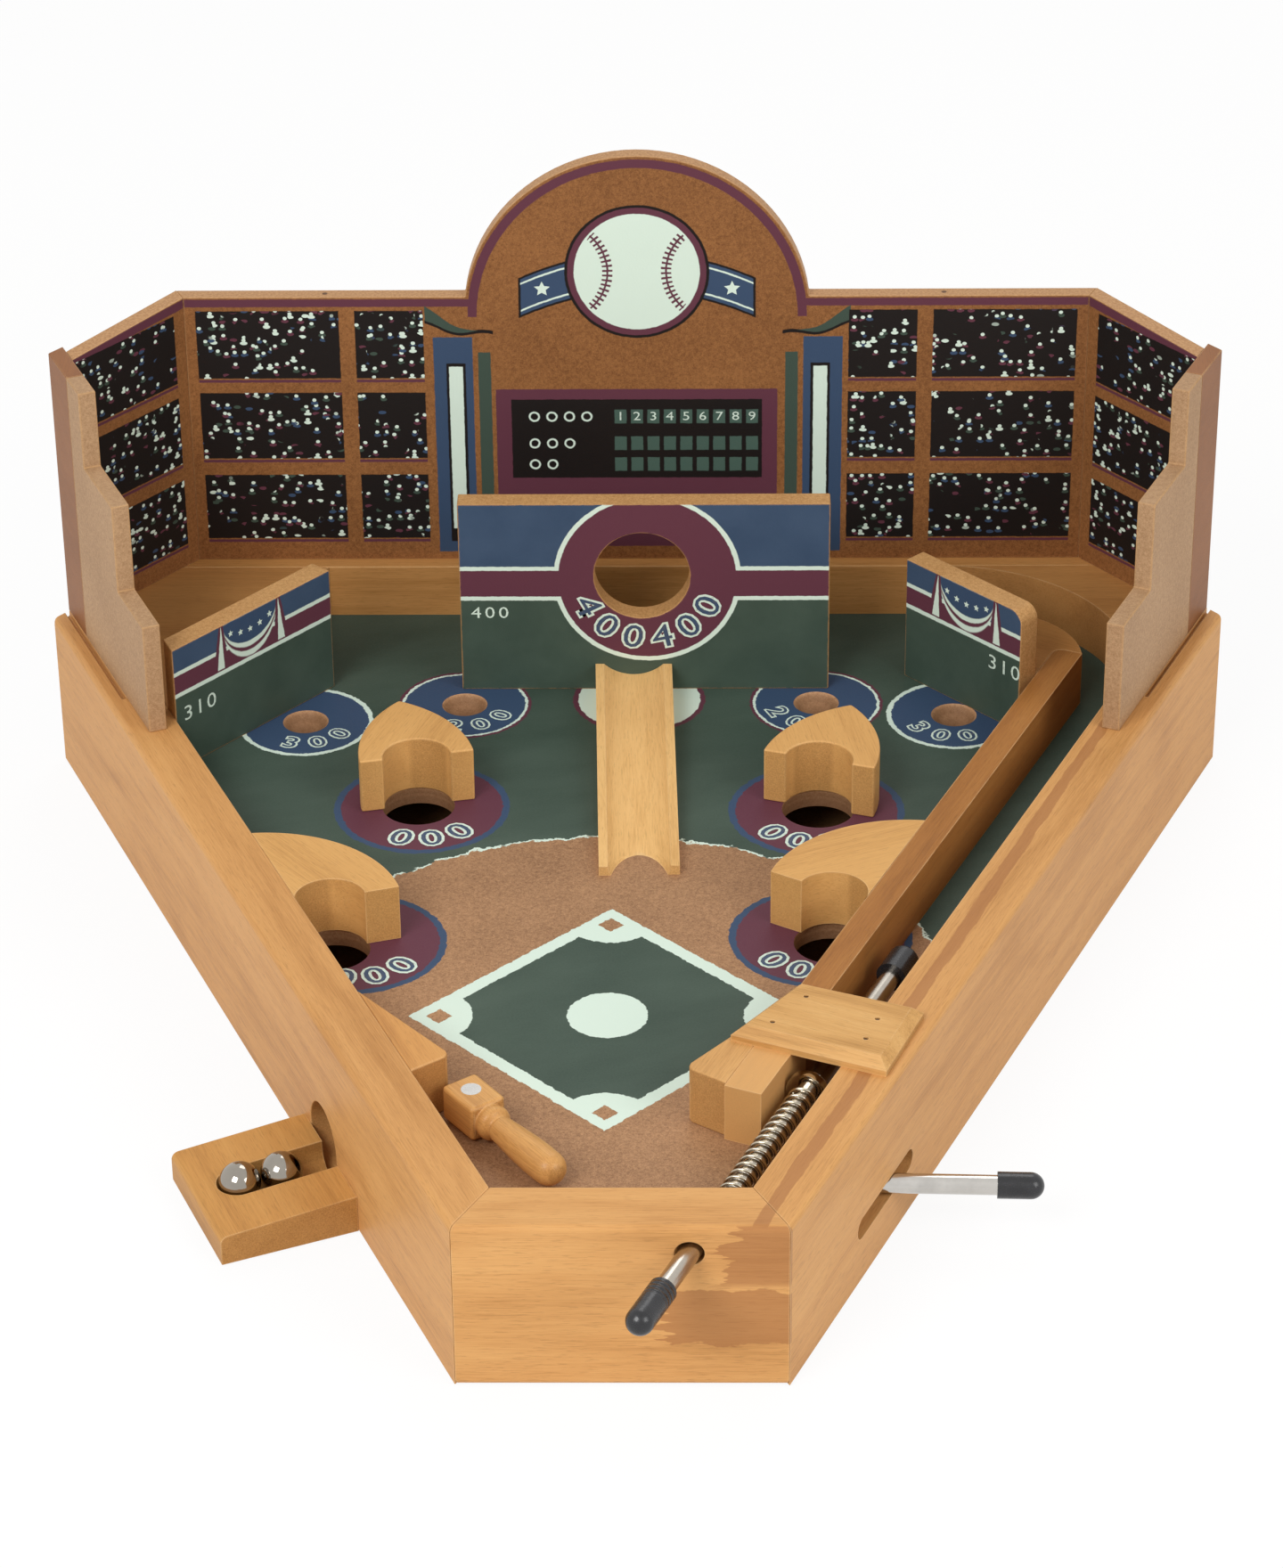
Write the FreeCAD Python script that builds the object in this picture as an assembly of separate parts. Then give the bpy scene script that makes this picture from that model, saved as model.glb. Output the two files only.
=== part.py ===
"""Table-top baseball bagatelle: a wooden five-sided case with a sprung plunger, a lever-driven bat,
a ball return tray and a small stadium behind the playfield. Millimetres, +Z up.

The drawing frame has Y = 0 at the front face of the case. Every piece is moved by -CASE_DEPTH / 2
when it is written, so that the row origin is under the middle of the case.
"""
import FreeCAD
import Part
import math
import os

V = FreeCAD.Vector
UP = V(0, 0, 1)

# Case
CASE_HEIGHT = 55.0
CASE_DEPTH = 405.6
FRONT_HALF = 47.25
BACK_HALF = 198.75
CORNER_DEEP = 55.6
CORNER_Y = CASE_DEPTH - CORNER_DEEP
DIAGONAL_HALF = 153.6
FRONT_THICK = 19.0
SIDE_THICK = 17.0
BACK_THICK = 19.0
ARRIS = 2.0
BOTTOM_THICK = 3.0

# Playfield
FIELD_DROP = 19.0
FIELD_TOP = CASE_HEIGHT - FIELD_DROP
FIELD_THICK = 6.0
OUT_HOLE_R = 11.8
OUT_HOLES = {"upper_left": (-69.9, 257.3), "upper_right": (60.0, 255.1)}
LOWER_HOLES = {"lower_left": (26.85, 171.2), "lower_right": (55.35, 174.8)}
DISH_R = 7.65
DISH_DEEP = 3.5
DISHES_BACK = [(-110.7, 93.5), (-57.8, 82.2), (60.7, 81.4), (106.7, 89.6)]
DISHES = [(x, CASE_DEPTH - back) for x, back in DISHES_BACK]
CLEAT_WIDE = 6.0
CLEAT_HIGH = 4.0
CLEAT_START_S = 30.0

# Guards that stand behind the holes
GUARD_HIGH = 19.0
GUARD_WIDE = 37.4
GUARD_ARC_R = 45.8
GUARD_MOUTH_R = 11.0
UPPER_GUARD_TURN = {"upper_left": 12.3, "upper_right": -18.0}
LEFT_GUARD_CORNER = (21.0, 6.5)
LEFT_GUARD_APEX_S = 221.0
RIGHT_GUARD_CORNER = (-18.9, 11.5)
RIGHT_GUARD_APEX_S = 216.9

# Lane and its rail
LANE_WIDE = 17.8
RAIL_WIDE = 9.5
RAIL_START_S = 56.3
RAIL_PAST_FENCE = 19.16
RAIL_FOOT_LONG = 34.0
RAIL_FOOT_OUT = 2.1
RAIL_END_R = 3.5

# Deflectors, corner blocks and the curved block
NOSE_R = 3.0
RIGHT_NOSE = (17.4, 79.0)
RIGHT_DEFLECTOR_S = (57.8, 107.8)
LEFT_NOSE = (-50.6, 85.5)
LEFT_DEFLECTOR_S = (76.5, 123.4)
CORNER_SWEEP_R = 60.0
SCOOP_START_X = -107.0
SCOOP_BULGE = 9.6
CURVE_BOW = 17.65

# Fences
FENCE_THICK = 8.0
FENCE_BACK = 71.6
FENCE_Y = CASE_DEPTH - FENCE_BACK
FENCE_LEFT = -59.0
FENCE_RIGHT = 65.0
FENCE_TOP = CASE_HEIGHT + 51.3
TARGET_X = 2.2
TARGET_Z = CASE_HEIGHT + 24.5
TARGET_R = 16.0
SIDE_FENCE_TOP = CASE_HEIGHT + 25.8
SIDE_FENCE_CORNER_R = 5.0
LEFT_FENCE_START = (-102.6, CASE_DEPTH - 69.5)
LEFT_FENCE_TURN = 229.5
RIGHT_FENCE_START = (91.0, CASE_DEPTH - 62.5)
RIGHT_FENCE_TURN = -46.5

# Ramp
RAMP_X = 0.8
RAMP_WIDE = 25.8
RAMP_LENGTH = 119.5
RAMP_HIGH = 9.8
RAMP_LOW = 3.4
RAMP_GROOVE_HALF = 10.0
RAMP_GROOVE_DEEP = 4.0
RAMP_SCOOP_R = 10.2
RAMP_SCOOP_LONG = 12.0
RAMP_SCOOP_SLOPE = 0.5
RAMP_TURN = 1.6

# Bridge plate over the lane
BRIDGE_THICK = 5.0
BRIDGE_BEVEL = 3.0
BRIDGE_CORNERS = [(51.1, 118.7), (88.0, 104.0), (75.9, 73.3), (30.9, 92.4)]
BRIDGE_NAILS = [(101.9, 37.5), (99.1, 13.8), (85.5, 41.4), (88.2, 13.1)]
NAIL_R = 0.8
NAIL_LONG = 14.0
NAIL_SUNK = 0.5

# Plunger
PLUNGER_DROP = 9.0
PLUNGER_Z = CASE_HEIGHT - PLUNGER_DROP
ROD_R = 3.0
ROD_HOLE_R = 3.85
KNOB_R = 4.1
KNOB_LONG = 19.5
KNOB_OUT = 37.3
COLLAR_R = 6.4
COLLAR_AT = 85.0
COLLAR_LONG = 7.0
COLLAR_RIM = 2.6
TIP_R = 4.75
TIP_AT = 152.5
TIP_LONG = 12.0
WASHER_R = 5.4
WASHER_THICK = 1.0
WASHER_SINK = 0.2
WASHER_PLAY = 0.3
SPRING_WIRE_R = 0.45
SPRING_R = 3.75
SPRING_TURNS = 18

# Bat and its shaft
BAT_PIVOT = (-44.7, 77.2)
BAT_TURN = -53.3
BAT_LIFT = 0.8
BAT_BLOCK_HIGH = 11.5
BAT_BLOCK_WIDE = 12.0
BAT_BLOCK_BACK = 6.7
BAT_BLOCK_FRONT = 9.0
BAT_LONG = 44.3
BAT_NECK_R = 3.7
BAT_BARREL_R = 5.2
BAT_TIP_TAPER = 0.05
SHAFT_R = 3.0
RUNNING = 0.05
BEARING_SIDE = 20.0
BEARING_TOP = 7.0
CRANK_THICK = 3.0
CRANK_UNDER = 3.0
CRANK_LONG = 19.0
CRANK_WIDE = 9.0
CRANK_PIN_R = 1.5
CRANK_PIN_OUT = 1.5
BAT_SPRING_WIRE_R = 0.4
SPRING_CLEAR = 0.3
BAT_SPRING_R = 4.4
BAT_SPRING_TURNS = 2

# Lever
LEVER_PIVOT = (26.0, 73.9)
LEVER_TURN = -1.9
LEVER_DROP = 11.7
LEVER_Z = FIELD_TOP - FIELD_THICK - LEVER_DROP
LEVER_REACH = 96.8
LEVER_CAP_R = 4.0
LEVER_CAP_LONG = 13.8
LEVER_SLOT_S = (51.0, 94.5)
LEVER_SLOT_HIGH = 7.0
HUB_R = 7.5
HUB_LOW = LEVER_Z - 4.6
HUB_HIGH = LEVER_Z + 3.7
FORK_THICK = 2.5
FORK_NECK = 8.0
FORK_WIDE = 12.0
FORK_SLOT = 6.0
FORK_SLOT_FROM = 48.0
FORK_SLOT_TO = 64.5
FORK_END = 1.6
CRANK_Z = HUB_HIGH - CRANK_UNDER - CRANK_THICK
CRANK_PIN_TOP = HUB_HIGH + FORK_THICK + CRANK_PIN_OUT
PIVOT_SCREW_R = 2.5
PIVOT_HEAD_R = 4.5
PIVOT_BLOCK_SIDE = 24.0
SWING_HALF = 45.0

# Ball return
BALL_R = 6.35
BALL_REST = 0.02
RETURN_HOLE_S = 110.0
RETURN_HOLE_Z = 13.9
RETURN_HOLE_R = 11.5
FLOOR_THICK = 3.0
FLOOR_AT_HOLE = 6.3
FLOOR_SLOPE_X = 0.018
FLOOR_SLOPE_Y = 0.0235
FLOOR_BACK_Y = CASE_DEPTH - 105.6
DIVIDER_THICK = 4.0
DIVIDER = [(-45.0, 103.0)]
DIVIDER_LEFT_S = 95.0
DIVIDER_RIGHT_S = 154.0
BATTEN_WIDE = 10.0

# Tray
TRAY_S = (80.0, 127.0)
TRAY_OUT = 42.6
TRAY_HIGH = 12.5
TRAY_LOW = 9.7
TRAY_EDGE_R = 2.5
GROOVE_S = 104.1
GROOVE_R = 7.0
GROOVE_FLOOR = 3.65
GROOVE_END = 28.5

# Stadium
PANEL_THICK = 6.0
PANEL_Y = CASE_DEPTH - 13.4
PANEL_HALF = 152.7
PANEL_TOP = CASE_HEIGHT + 100.0
DOME_R = 58.5
DOME_X = 0.5
DOME_Z = CASE_HEIGHT + 92.5
WING_END_TOP = CASE_HEIGHT + 96.5
STEP_INSET = 6.5
STEPS_OVER_CASE = [(34.0, 97.0), (64.5, 70.0), (91.0, 39.0)]
STEPS = [(reach, CASE_HEIGHT + rise) for reach, rise in STEPS_OVER_CASE]
STILE_WIDE = 20.6
GAP_LINE_WIDE = 1.5
GAP_LINE_DEEP = 2.0
GAP_LINE_LONG = 66.0

# Directions of the two long side walls
SLOPE = (BACK_HALF - FRONT_HALF) / CORNER_Y
COS = 1.0 / math.sqrt(1.0 + SLOPE * SLOPE)
SIN = SLOPE * COS
FIELD_UNDER = FIELD_TOP - FIELD_THICK
LANE_LEFT = SIDE_THICK + LANE_WIDE
RAIL_LEFT = LANE_LEFT + RAIL_WIDE
AXIS = V(SIN, COS, 0)


def right(s, d):
    """Plan point s along the right wall's outer face and d inward from it."""
    return (FRONT_HALF + s * SIN - d * COS, s * COS + d * SIN)


def left(s, d):
    """The mirror of right(s, d), on the left wall."""
    x, y = right(s, d)
    return (-x, y)


def along_wall(point):
    """How far along the right wall's outer face a plan point is, as s in right(s, d)."""
    return (point[0] - FRONT_HALF) * SIN + point[1] * COS


def wall_at(y, d):
    """x of the line d inside the right wall's outer face, at a given y."""
    return FRONT_HALF + SLOPE * y - d / COS


def diagonal_at(y):
    """x of the sloping back end of the case, at a given y."""
    return BACK_HALF - (y - CORNER_Y) * (BACK_HALF - DIAGONAL_HALF) / (CASE_DEPTH - CORNER_Y)


OUT_HOLES["lower_left"] = (-wall_at(LOWER_HOLES["lower_left"][1], LOWER_HOLES["lower_left"][0]),
                           LOWER_HOLES["lower_left"][1])
OUT_HOLES["lower_right"] = (wall_at(LOWER_HOLES["lower_right"][1], LOWER_HOLES["lower_right"][0]),
                            LOWER_HOLES["lower_right"][1])


def meet(p, q, a, b):
    """Crossing of the plan lines p-q and a-b."""
    dx, dy = q[0] - p[0], q[1] - p[1]
    ex, ey = b[0] - a[0], b[1] - a[1]
    t = ((a[0] - p[0]) * ey - (a[1] - p[1]) * ex) / (dx * ey - dy * ex)
    return (p[0] + dx * t, p[1] + dy * t)


def turned(point, degrees, about=(0.0, 0.0)):
    """A plan point turned about another."""
    c, s = math.cos(math.radians(degrees)), math.sin(math.radians(degrees))
    x, y = point[0] - about[0], point[1] - about[1]
    return (about[0] + c * x - s * y, about[1] + s * x + c * y)


def bulged(a, b, bow):
    """Middle of an arc from a to b, a given distance to the right of the line between them."""
    long = math.dist(a, b)
    dx, dy = (b[0] - a[0]) / long, (b[1] - a[1]) / long
    return ((a[0] + b[0]) / 2 + dy * bow, (a[1] + b[1]) / 2 - dx * bow)


def bowed(a, b, radius):
    """Middle of the arc of a given radius from a to b, bowed to its right."""
    half = math.dist(a, b) / 2
    return bulged(a, b, radius - math.sqrt(max(radius ** 2 - half ** 2, 0.0)))


def prism(points, low, high):
    """Upright solid on a plan outline of points; an item ("arc", middle, end) adds an arc."""
    edges = []
    here = points[0]
    for item in list(points[1:]) + [points[0]]:
        if item[0] == "arc":
            edges.append(Part.Arc(V(*here, low), V(*item[1], low), V(*item[2], low)).toShape())
            here = item[2]
        elif math.dist(here, item) > 1e-6:
            edges.append(Part.LineSegment(V(*here, low), V(*item, low)).toShape())
            here = item
    return Part.Face(Part.Wire(edges)).extrude(V(0, 0, high - low))


def post(x, y, radius, low, high):
    """Upright cylinder."""
    return Part.makeCylinder(radius, high - low, V(x, y, low))


def softened(shape, radius, wanted):
    """Rounds the edges that a test on their middle point and direction picks."""
    edges = []
    for edge in shape.Edges:
        middle = edge.valueAt((edge.FirstParameter + edge.LastParameter) / 2)
        run = edge.tangentAt((edge.FirstParameter + edge.LastParameter) / 2)
        if wanted(middle, run):
            edges.append(edge)
    return shape.makeFillet(radius, edges) if edges else shape


def sloped(points, under, over):
    """Solid between two planes given as functions of x and y, over a plan polygon."""
    low = [V(x, y, under(x, y)) for x, y in points]
    high = [V(x, y, over(x, y)) for x, y in points]
    faces = [Part.Face(Part.makePolygon(ring + [ring[0]])) for ring in (low, high)]
    for i in range(len(points)):
        j = (i + 1) % len(points)
        faces.append(Part.Face(Part.makePolygon([low[i], low[j], high[j], high[i], low[i]])))
    return Part.makeSolid(Part.makeShell(faces))


def placed(shape, at, degrees):
    """Turns a piece made about the origin and sets it at a plan point."""
    shape.rotate(V(0, 0, 0), UP, degrees)
    shape.translate(V(at[0], at[1], 0))
    return shape


def write(name, shape):
    """Writes one piece in the row frame."""
    piece = shape.copy()
    piece.translate(V(0, -CASE_DEPTH / 2, 0))
    solids = piece.Solids
    piece = solids[0] if len(solids) == 1 else Part.makeCompound(solids)
    assert piece.isValid(), name
    piece.exportStep("parts/%s.step" % name)
    box = piece.BoundBox
    print("%-22s %d solid  x %.1f..%.1f  y %.1f..%.1f  z %.1f..%.1f" % (
        name, len(solids), box.XMin, box.XMax, box.YMin, box.YMax, box.ZMin, box.ZMax))


# Plunger line
LANE_MIDDLE = SIDE_THICK + LANE_WIDE / 2
LINE_START = V(wall_at(0, LANE_MIDDLE), 0, PLUNGER_Z)


def along(t):
    """Point on the plunger's line, t behind the front face of the case."""
    return LINE_START + AXIS * t


def rod(t0, t1, radius):
    """Round bar on the plunger's line."""
    return Part.makeCylinder(radius, t1 - t0, along(t0), AXIS)


WASHER_FACE = (FRONT_THICK - WASHER_R * SIN) / COS - WASHER_SINK
WASHER_BACK = WASHER_FACE - WASHER_THICK


def biarc(p, a, q, b):
    """Two tangent arcs from p along a to q along b."""
    chord = q - p
    total = a + b
    k = 2.0 * (1.0 - a.dot(b))
    reach = (-chord.dot(total) + math.sqrt(chord.dot(total) ** 2 + k * chord.dot(chord))) / k
    first = p + a * reach
    second = q - b * reach
    joint = (first + second) * 0.5
    edges = []
    for start, corner, end in ((p, first, joint), (joint, second, q)):
        half = (start + end) * 0.5
        rise = corner - half
        span = (end - start).Length / 2
        bow = span * math.tan(math.atan2(rise.Length, span) / 2)
        edges.append(Part.Arc(start, half + rise * (bow / rise.Length), end).toShape())
    return edges


def coil(length, coil_r, wire_r, turns):
    """Wound wire about +Z from z = 0 to length: straight ends, then a steady helix in quarter turns."""
    wire_d = 2 * wire_r
    lead_turn = math.radians(60)
    lead_rise = 2 * wire_d + 0.2
    pitch = (length - 2 * wire_d - 2 * lead_rise) / turns
    climb = pitch / (2 * math.pi)

    def spot(angle, z):
        return V(coil_r * math.cos(angle), coil_r * math.sin(angle), z)

    def way(angle):
        run = V(-coil_r * math.sin(angle), coil_r * math.cos(angle), climb)
        run.normalize()
        return run

    start = spot(0, 0)
    risen = spot(0, wire_d)
    edges = [Part.LineSegment(start, risen).toShape()]
    low = wire_d + lead_rise
    edges += biarc(risen, UP, spot(lead_turn, low), way(lead_turn))
    steps = 4 * turns
    for i in range(steps):
        a0 = lead_turn + i * math.pi / 2
        a1 = a0 + math.pi / 2
        z0 = low + pitch * i / 4
        edges += biarc(spot(a0, z0), way(a0), spot(a1, z0 + pitch / 4), way(a1))
    last = lead_turn + steps * math.pi / 2
    end_angle = last + lead_turn
    edges += biarc(spot(last, length - low), way(last), spot(end_angle, length - wire_d), UP)
    edges.append(Part.LineSegment(spot(end_angle, length - wire_d), spot(end_angle, length)).toShape())
    path = Part.Wire(edges)
    section = Part.Wire(Part.makeCircle(wire_r, start, UP))
    shell = Part.BRepOffsetAPI.MakePipeShell(path)
    shell.add(section)
    shell.build()
    shell.makeSolid()
    report_gap(path, wire_d)
    return shell.shape()


def report_gap(path, wire_d):
    """Measures and prints the least gap of a wound wire to itself."""
    points = path.discretize(Distance=wire_d / 2)
    skip = 10
    least = min((points[i] - points[j]).Length
                for i in range(len(points)) for j in range(i + skip, min(len(points), i + 140)))
    print("coil: wire %.2f, least gap to itself %.2f" % (wire_d, least - wire_d))


def dished(shape, x, y):
    """Cuts a shallow round dish in the playfield."""
    ball = (DISH_R ** 2 + DISH_DEEP ** 2) / (2 * DISH_DEEP)
    return shape.cut(Part.makeSphere(ball, V(x, y, FIELD_TOP + ball - DISH_DEEP)))


os.makedirs("parts", exist_ok=True)

# Plan of the cavity and the corner blocks
inner_front = (wall_at(FRONT_THICK, SIDE_THICK), FRONT_THICK)
ledge_y = CASE_DEPTH - BACK_THICK
ledge_end = (diagonal_at(ledge_y), ledge_y)
diagonal = ((BACK_HALF, CORNER_Y), (DIAGONAL_HALF, CASE_DEPTH))
inner_back = meet(right(0, SIDE_THICK), right(100, SIDE_THICK), *diagonal)


def mirror(point):
    """The same plan point on the other side of the case."""
    return (-point[0], point[1])


cavity = [mirror(inner_front), inner_front, inner_back, ledge_end, mirror(ledge_end), mirror(inner_back)]

# Fence frames: start, direction and the point behind the start
def fence_frame(start, degrees, side):
    """Unit direction of a side fence and its back line's start."""
    run = (math.cos(math.radians(degrees)), math.sin(math.radians(degrees)))
    back = (-run[1] * side, run[0] * side)
    return run, (start[0] + back[0] * FENCE_THICK, start[1] + back[1] * FENCE_THICK)


left_run, left_back = fence_frame(LEFT_FENCE_START, LEFT_FENCE_TURN, -1)
right_run, right_back = fence_frame(RIGHT_FENCE_START, RIGHT_FENCE_TURN, 1)


def ahead(start, run, t):
    """Point t along a direction."""
    return (start[0] + run[0] * t, start[1] + run[1] * t)


left_wall_line = (left(0, SIDE_THICK), left(100, SIDE_THICK))
left_back_end = meet(left_back, ahead(left_back, left_run, 10), *left_wall_line)
left_front_end = meet(LEFT_FENCE_START, ahead(LEFT_FENCE_START, left_run, 10), *left_wall_line)
rail_line = (right(0, RAIL_LEFT), right(100, RAIL_LEFT))
right_back_end = meet(right_back, ahead(right_back, right_run, 10), *rail_line)

sweep_y = ledge_y - CORNER_SWEEP_R
sweep_x = wall_at(sweep_y, SIDE_THICK) - CORNER_SWEEP_R / COS
sweep_low = (sweep_x + CORNER_SWEEP_R * COS, sweep_y - CORNER_SWEEP_R * SIN)
bisect = math.radians((90 - math.degrees(math.asin(SIN))) / 2)
sweep_middle = (sweep_x + CORNER_SWEEP_R * math.cos(bisect), sweep_y + CORNER_SWEEP_R * math.sin(bisect))
right_corner = prism([sweep_low, inner_back, ledge_end, (sweep_x, ledge_y), ("arc", sweep_middle, sweep_low)],
                     0, CASE_HEIGHT)
scoop_start = (SCOOP_START_X, ledge_y)
scoop_middle = ((scoop_start[0] + left_back[0]) / 2 - SCOOP_BULGE, (scoop_start[1] + left_back[1]) / 2)
left_corner = prism([left_back_end, left_back, ("arc", scoop_middle, scoop_start), mirror(ledge_end),
                     mirror(inner_back)], 0, CASE_HEIGHT)
room = prism(cavity, 0, CASE_HEIGHT).cut(left_corner).cut(right_corner)


def floor_slab(low, high):
    """Slice of the cavity between two heights."""
    return room.common(Part.makeBox(900, 900, high - low, V(-450, -200, low)))


# Case walls, mitred at the front corners
def upper_arris(middle, run):
    """Picks the long upper outer arrises of the case."""
    return middle.z > CASE_HEIGHT - 0.01 and abs(run.z) < 0.01


front = prism([(-FRONT_HALF, 0), (FRONT_HALF, 0), inner_front, mirror(inner_front)], 0, CASE_HEIGHT)
front = softened(front, ARRIS, lambda m, r: m.y < 0.01 and abs(r.x) > 0.9)
front = front.cut(rod(-30, WASHER_BACK, ROD_HOLE_R))
front = front.cut(rod(WASHER_BACK, FRONT_THICK * 2, WASHER_R + WASHER_PLAY))
write("front_wall", front)

slot_half = LEVER_SLOT_HIGH / 2
slot = None
for s_end in (LEVER_SLOT_S[0] + slot_half, LEVER_SLOT_S[1] - slot_half):
    outside = right(s_end, -5)
    drill = Part.makeCylinder(slot_half, SIDE_THICK + 10, V(*outside, LEVER_Z), V(-COS, SIN, 0))
    slot = drill if slot is None else slot.fuse(drill)
slot_box = prism([right(LEVER_SLOT_S[0] + slot_half, -5), right(LEVER_SLOT_S[1] - slot_half, -5),
                  right(LEVER_SLOT_S[1] - slot_half, SIDE_THICK + 5),
                  right(LEVER_SLOT_S[0] + slot_half, SIDE_THICK + 5)],
                 LEVER_Z - slot_half, LEVER_Z + slot_half)
slot = slot.fuse(slot_box)
return_hole = Part.makeCylinder(RETURN_HOLE_R, SIDE_THICK + 10, V(*left(RETURN_HOLE_S, -5), RETURN_HOLE_Z),
                                V(COS, SIN, 0))
nail_spots = [right(nail_s, nail_d) for nail_s, nail_d in BRIDGE_NAILS]
bridge_top = CASE_HEIGHT + BRIDGE_THICK
nails = [post(x, y, NAIL_R, bridge_top - NAIL_SUNK - NAIL_LONG, bridge_top - NAIL_SUNK) for x, y in nail_spots]
nail_holes = [post(x, y, NAIL_R, bridge_top - NAIL_SUNK - NAIL_LONG, bridge_top + 1) for x, y in nail_spots]


def drilled(shape, holes):
    """Cuts each of a list of tools."""
    for hole in holes:
        shape = shape.cut(hole)
    return shape


wall_outline = [(FRONT_HALF, 0), (BACK_HALF, CORNER_Y), inner_back, inner_front]
step_rear = meet(right(0, STEP_INSET), right(100, STEP_INSET), *diagonal)
rear_s = along_wall(step_rear)
gap_from = rear_s - GAP_LINE_LONG
gap_line = [right(gap_from, STEP_INSET - GAP_LINE_WIDE), right(rear_s + 30, STEP_INSET - GAP_LINE_WIDE),
            right(rear_s + 30, STEP_INSET), right(gap_from, STEP_INSET)]


def long_arris(middle, run):
    """Picks the outer and inner long arrises on top and the upright back corner."""
    on_top = middle.z > CASE_HEIGHT - 0.01 and abs(run.y) > 0.85
    on_corner = abs(run.z) > 0.9 and abs(abs(middle.x) - BACK_HALF) < 0.1
    outer = abs(abs(middle.x) - wall_at(middle.y, 0)) < 0.1
    return (on_top and outer) or on_corner


wall = softened(prism(wall_outline, 0, CASE_HEIGHT), ARRIS, long_arris)
wall_groove = prism(gap_line, CASE_HEIGHT - GAP_LINE_DEEP, CASE_HEIGHT + 5)
right_wall = drilled(wall.cut(slot).cut(wall_groove), nail_holes)
write("right_wall", right_wall)
flip = prism([mirror(p) for p in wall_outline], 0, CASE_HEIGHT)
left_wall = softened(flip, ARRIS, long_arris).cut(return_hole)
left_wall = left_wall.cut(prism([mirror(p) for p in gap_line], CASE_HEIGHT - GAP_LINE_DEEP, CASE_HEIGHT + 5))
write("left_wall", left_wall)
write("back_wall", prism([mirror(ledge_end), ledge_end, (DIAGONAL_HALF, CASE_DEPTH),
                          (-DIAGONAL_HALF, CASE_DEPTH)], 0, CASE_HEIGHT))
write("left_corner_block", left_corner)
write("right_corner_block", right_corner)
write("bottom_board", floor_slab(0, BOTTOM_THICK))

# Playfield with its holes and dishes
field = floor_slab(FIELD_UNDER, FIELD_TOP)
for x, y in OUT_HOLES.values():
    field = field.cut(post(x, y, OUT_HOLE_R, 0, CASE_HEIGHT))
field = field.cut(post(*BAT_PIVOT, SHAFT_R + RUNNING, 0, CASE_HEIGHT))
for x, y in DISHES:
    field = dished(field, x, y)
write("playfield", field)

cleat_low = FIELD_UNDER - CLEAT_HIGH
cleat_back_s = along_wall(sweep_low) - 2
cleats = []
for side, name in ((left, "left_cleat"), (right, "right_cleat")):
    cleat = prism([side(CLEAT_START_S, SIDE_THICK), side(cleat_back_s, SIDE_THICK),
                   side(cleat_back_s, SIDE_THICK + CLEAT_WIDE), side(CLEAT_START_S, SIDE_THICK + CLEAT_WIDE)],
                  cleat_low, FIELD_UNDER)
    cleat = cleat.cut(left_corner)
    for x, y in OUT_HOLES.values():
        cleat = cleat.cut(post(x, y, OUT_HOLE_R, 0, CASE_HEIGHT))
    cleats.append(cleat)
    write(name, cleat)
write("rear_cleat", prism([(SCOOP_START_X + 2, ledge_y - CLEAT_WIDE), (sweep_x - 2, ledge_y - CLEAT_WIDE),
                           (sweep_x - 2, ledge_y), (SCOOP_START_X + 2, ledge_y)], BOTTOM_THICK, FIELD_UNDER))

# Lane rail, curved block and deflectors
rail_end_s = along_wall(right_back_end) + RAIL_PAST_FENCE
rail_foot_s = RAIL_START_S + RAIL_FOOT_LONG
rail_foot = LANE_LEFT - RAIL_FOOT_OUT
rail_outline = [right(RAIL_START_S, rail_foot), right(rail_foot_s, rail_foot), right(rail_foot_s, LANE_LEFT),
                right(rail_end_s, LANE_LEFT), right(rail_end_s, RAIL_LEFT), right(RAIL_START_S, RAIL_LEFT)]
rail_tip = V(*right(rail_end_s, RAIL_LEFT), 0)


def at_rail_tip(middle, run):
    """Picks the upright edge at the rail's upper left corner."""
    return abs(run.z) > 0.9 and math.dist((middle.x, middle.y), (rail_tip.x, rail_tip.y)) < 0.2


rail_shape = softened(prism(rail_outline, FIELD_TOP, CASE_HEIGHT), RAIL_END_R, at_rail_tip)
write("lane_rail", drilled(rail_shape, nail_holes))

curve_start = right(rail_end_s, LANE_LEFT)
curve_end = ahead(right_back, right_run, 2.7)
curved = prism([curve_start, ("arc", bulged(curve_start, curve_end, CURVE_BOW), curve_end), right_back_end,
                right(RAIL_START_S + 200, RAIL_LEFT - 5), right(rail_end_s - 10, RAIL_LEFT - 5)],
               FIELD_TOP, CASE_HEIGHT)
write("curved_block", curved.cut(rail_shape))


def nosed(a, nose, b):
    """Three-cornered block with a rounded nose."""
    shape = prism([a, nose, b], FIELD_TOP, CASE_HEIGHT)
    return softened(shape, NOSE_R, lambda m, r: abs(r.z) > 0.9 and math.dist((m.x, m.y), nose) < 0.1)


write("right_deflector", nosed(right(RIGHT_DEFLECTOR_S[1], RAIL_LEFT), RIGHT_NOSE,
                               right(RIGHT_DEFLECTOR_S[0], RAIL_LEFT)))
write("left_deflector", nosed(left(LEFT_DEFLECTOR_S[1], SIDE_THICK), LEFT_NOSE,
                              left(LEFT_DEFLECTOR_S[0], SIDE_THICK)))

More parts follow.
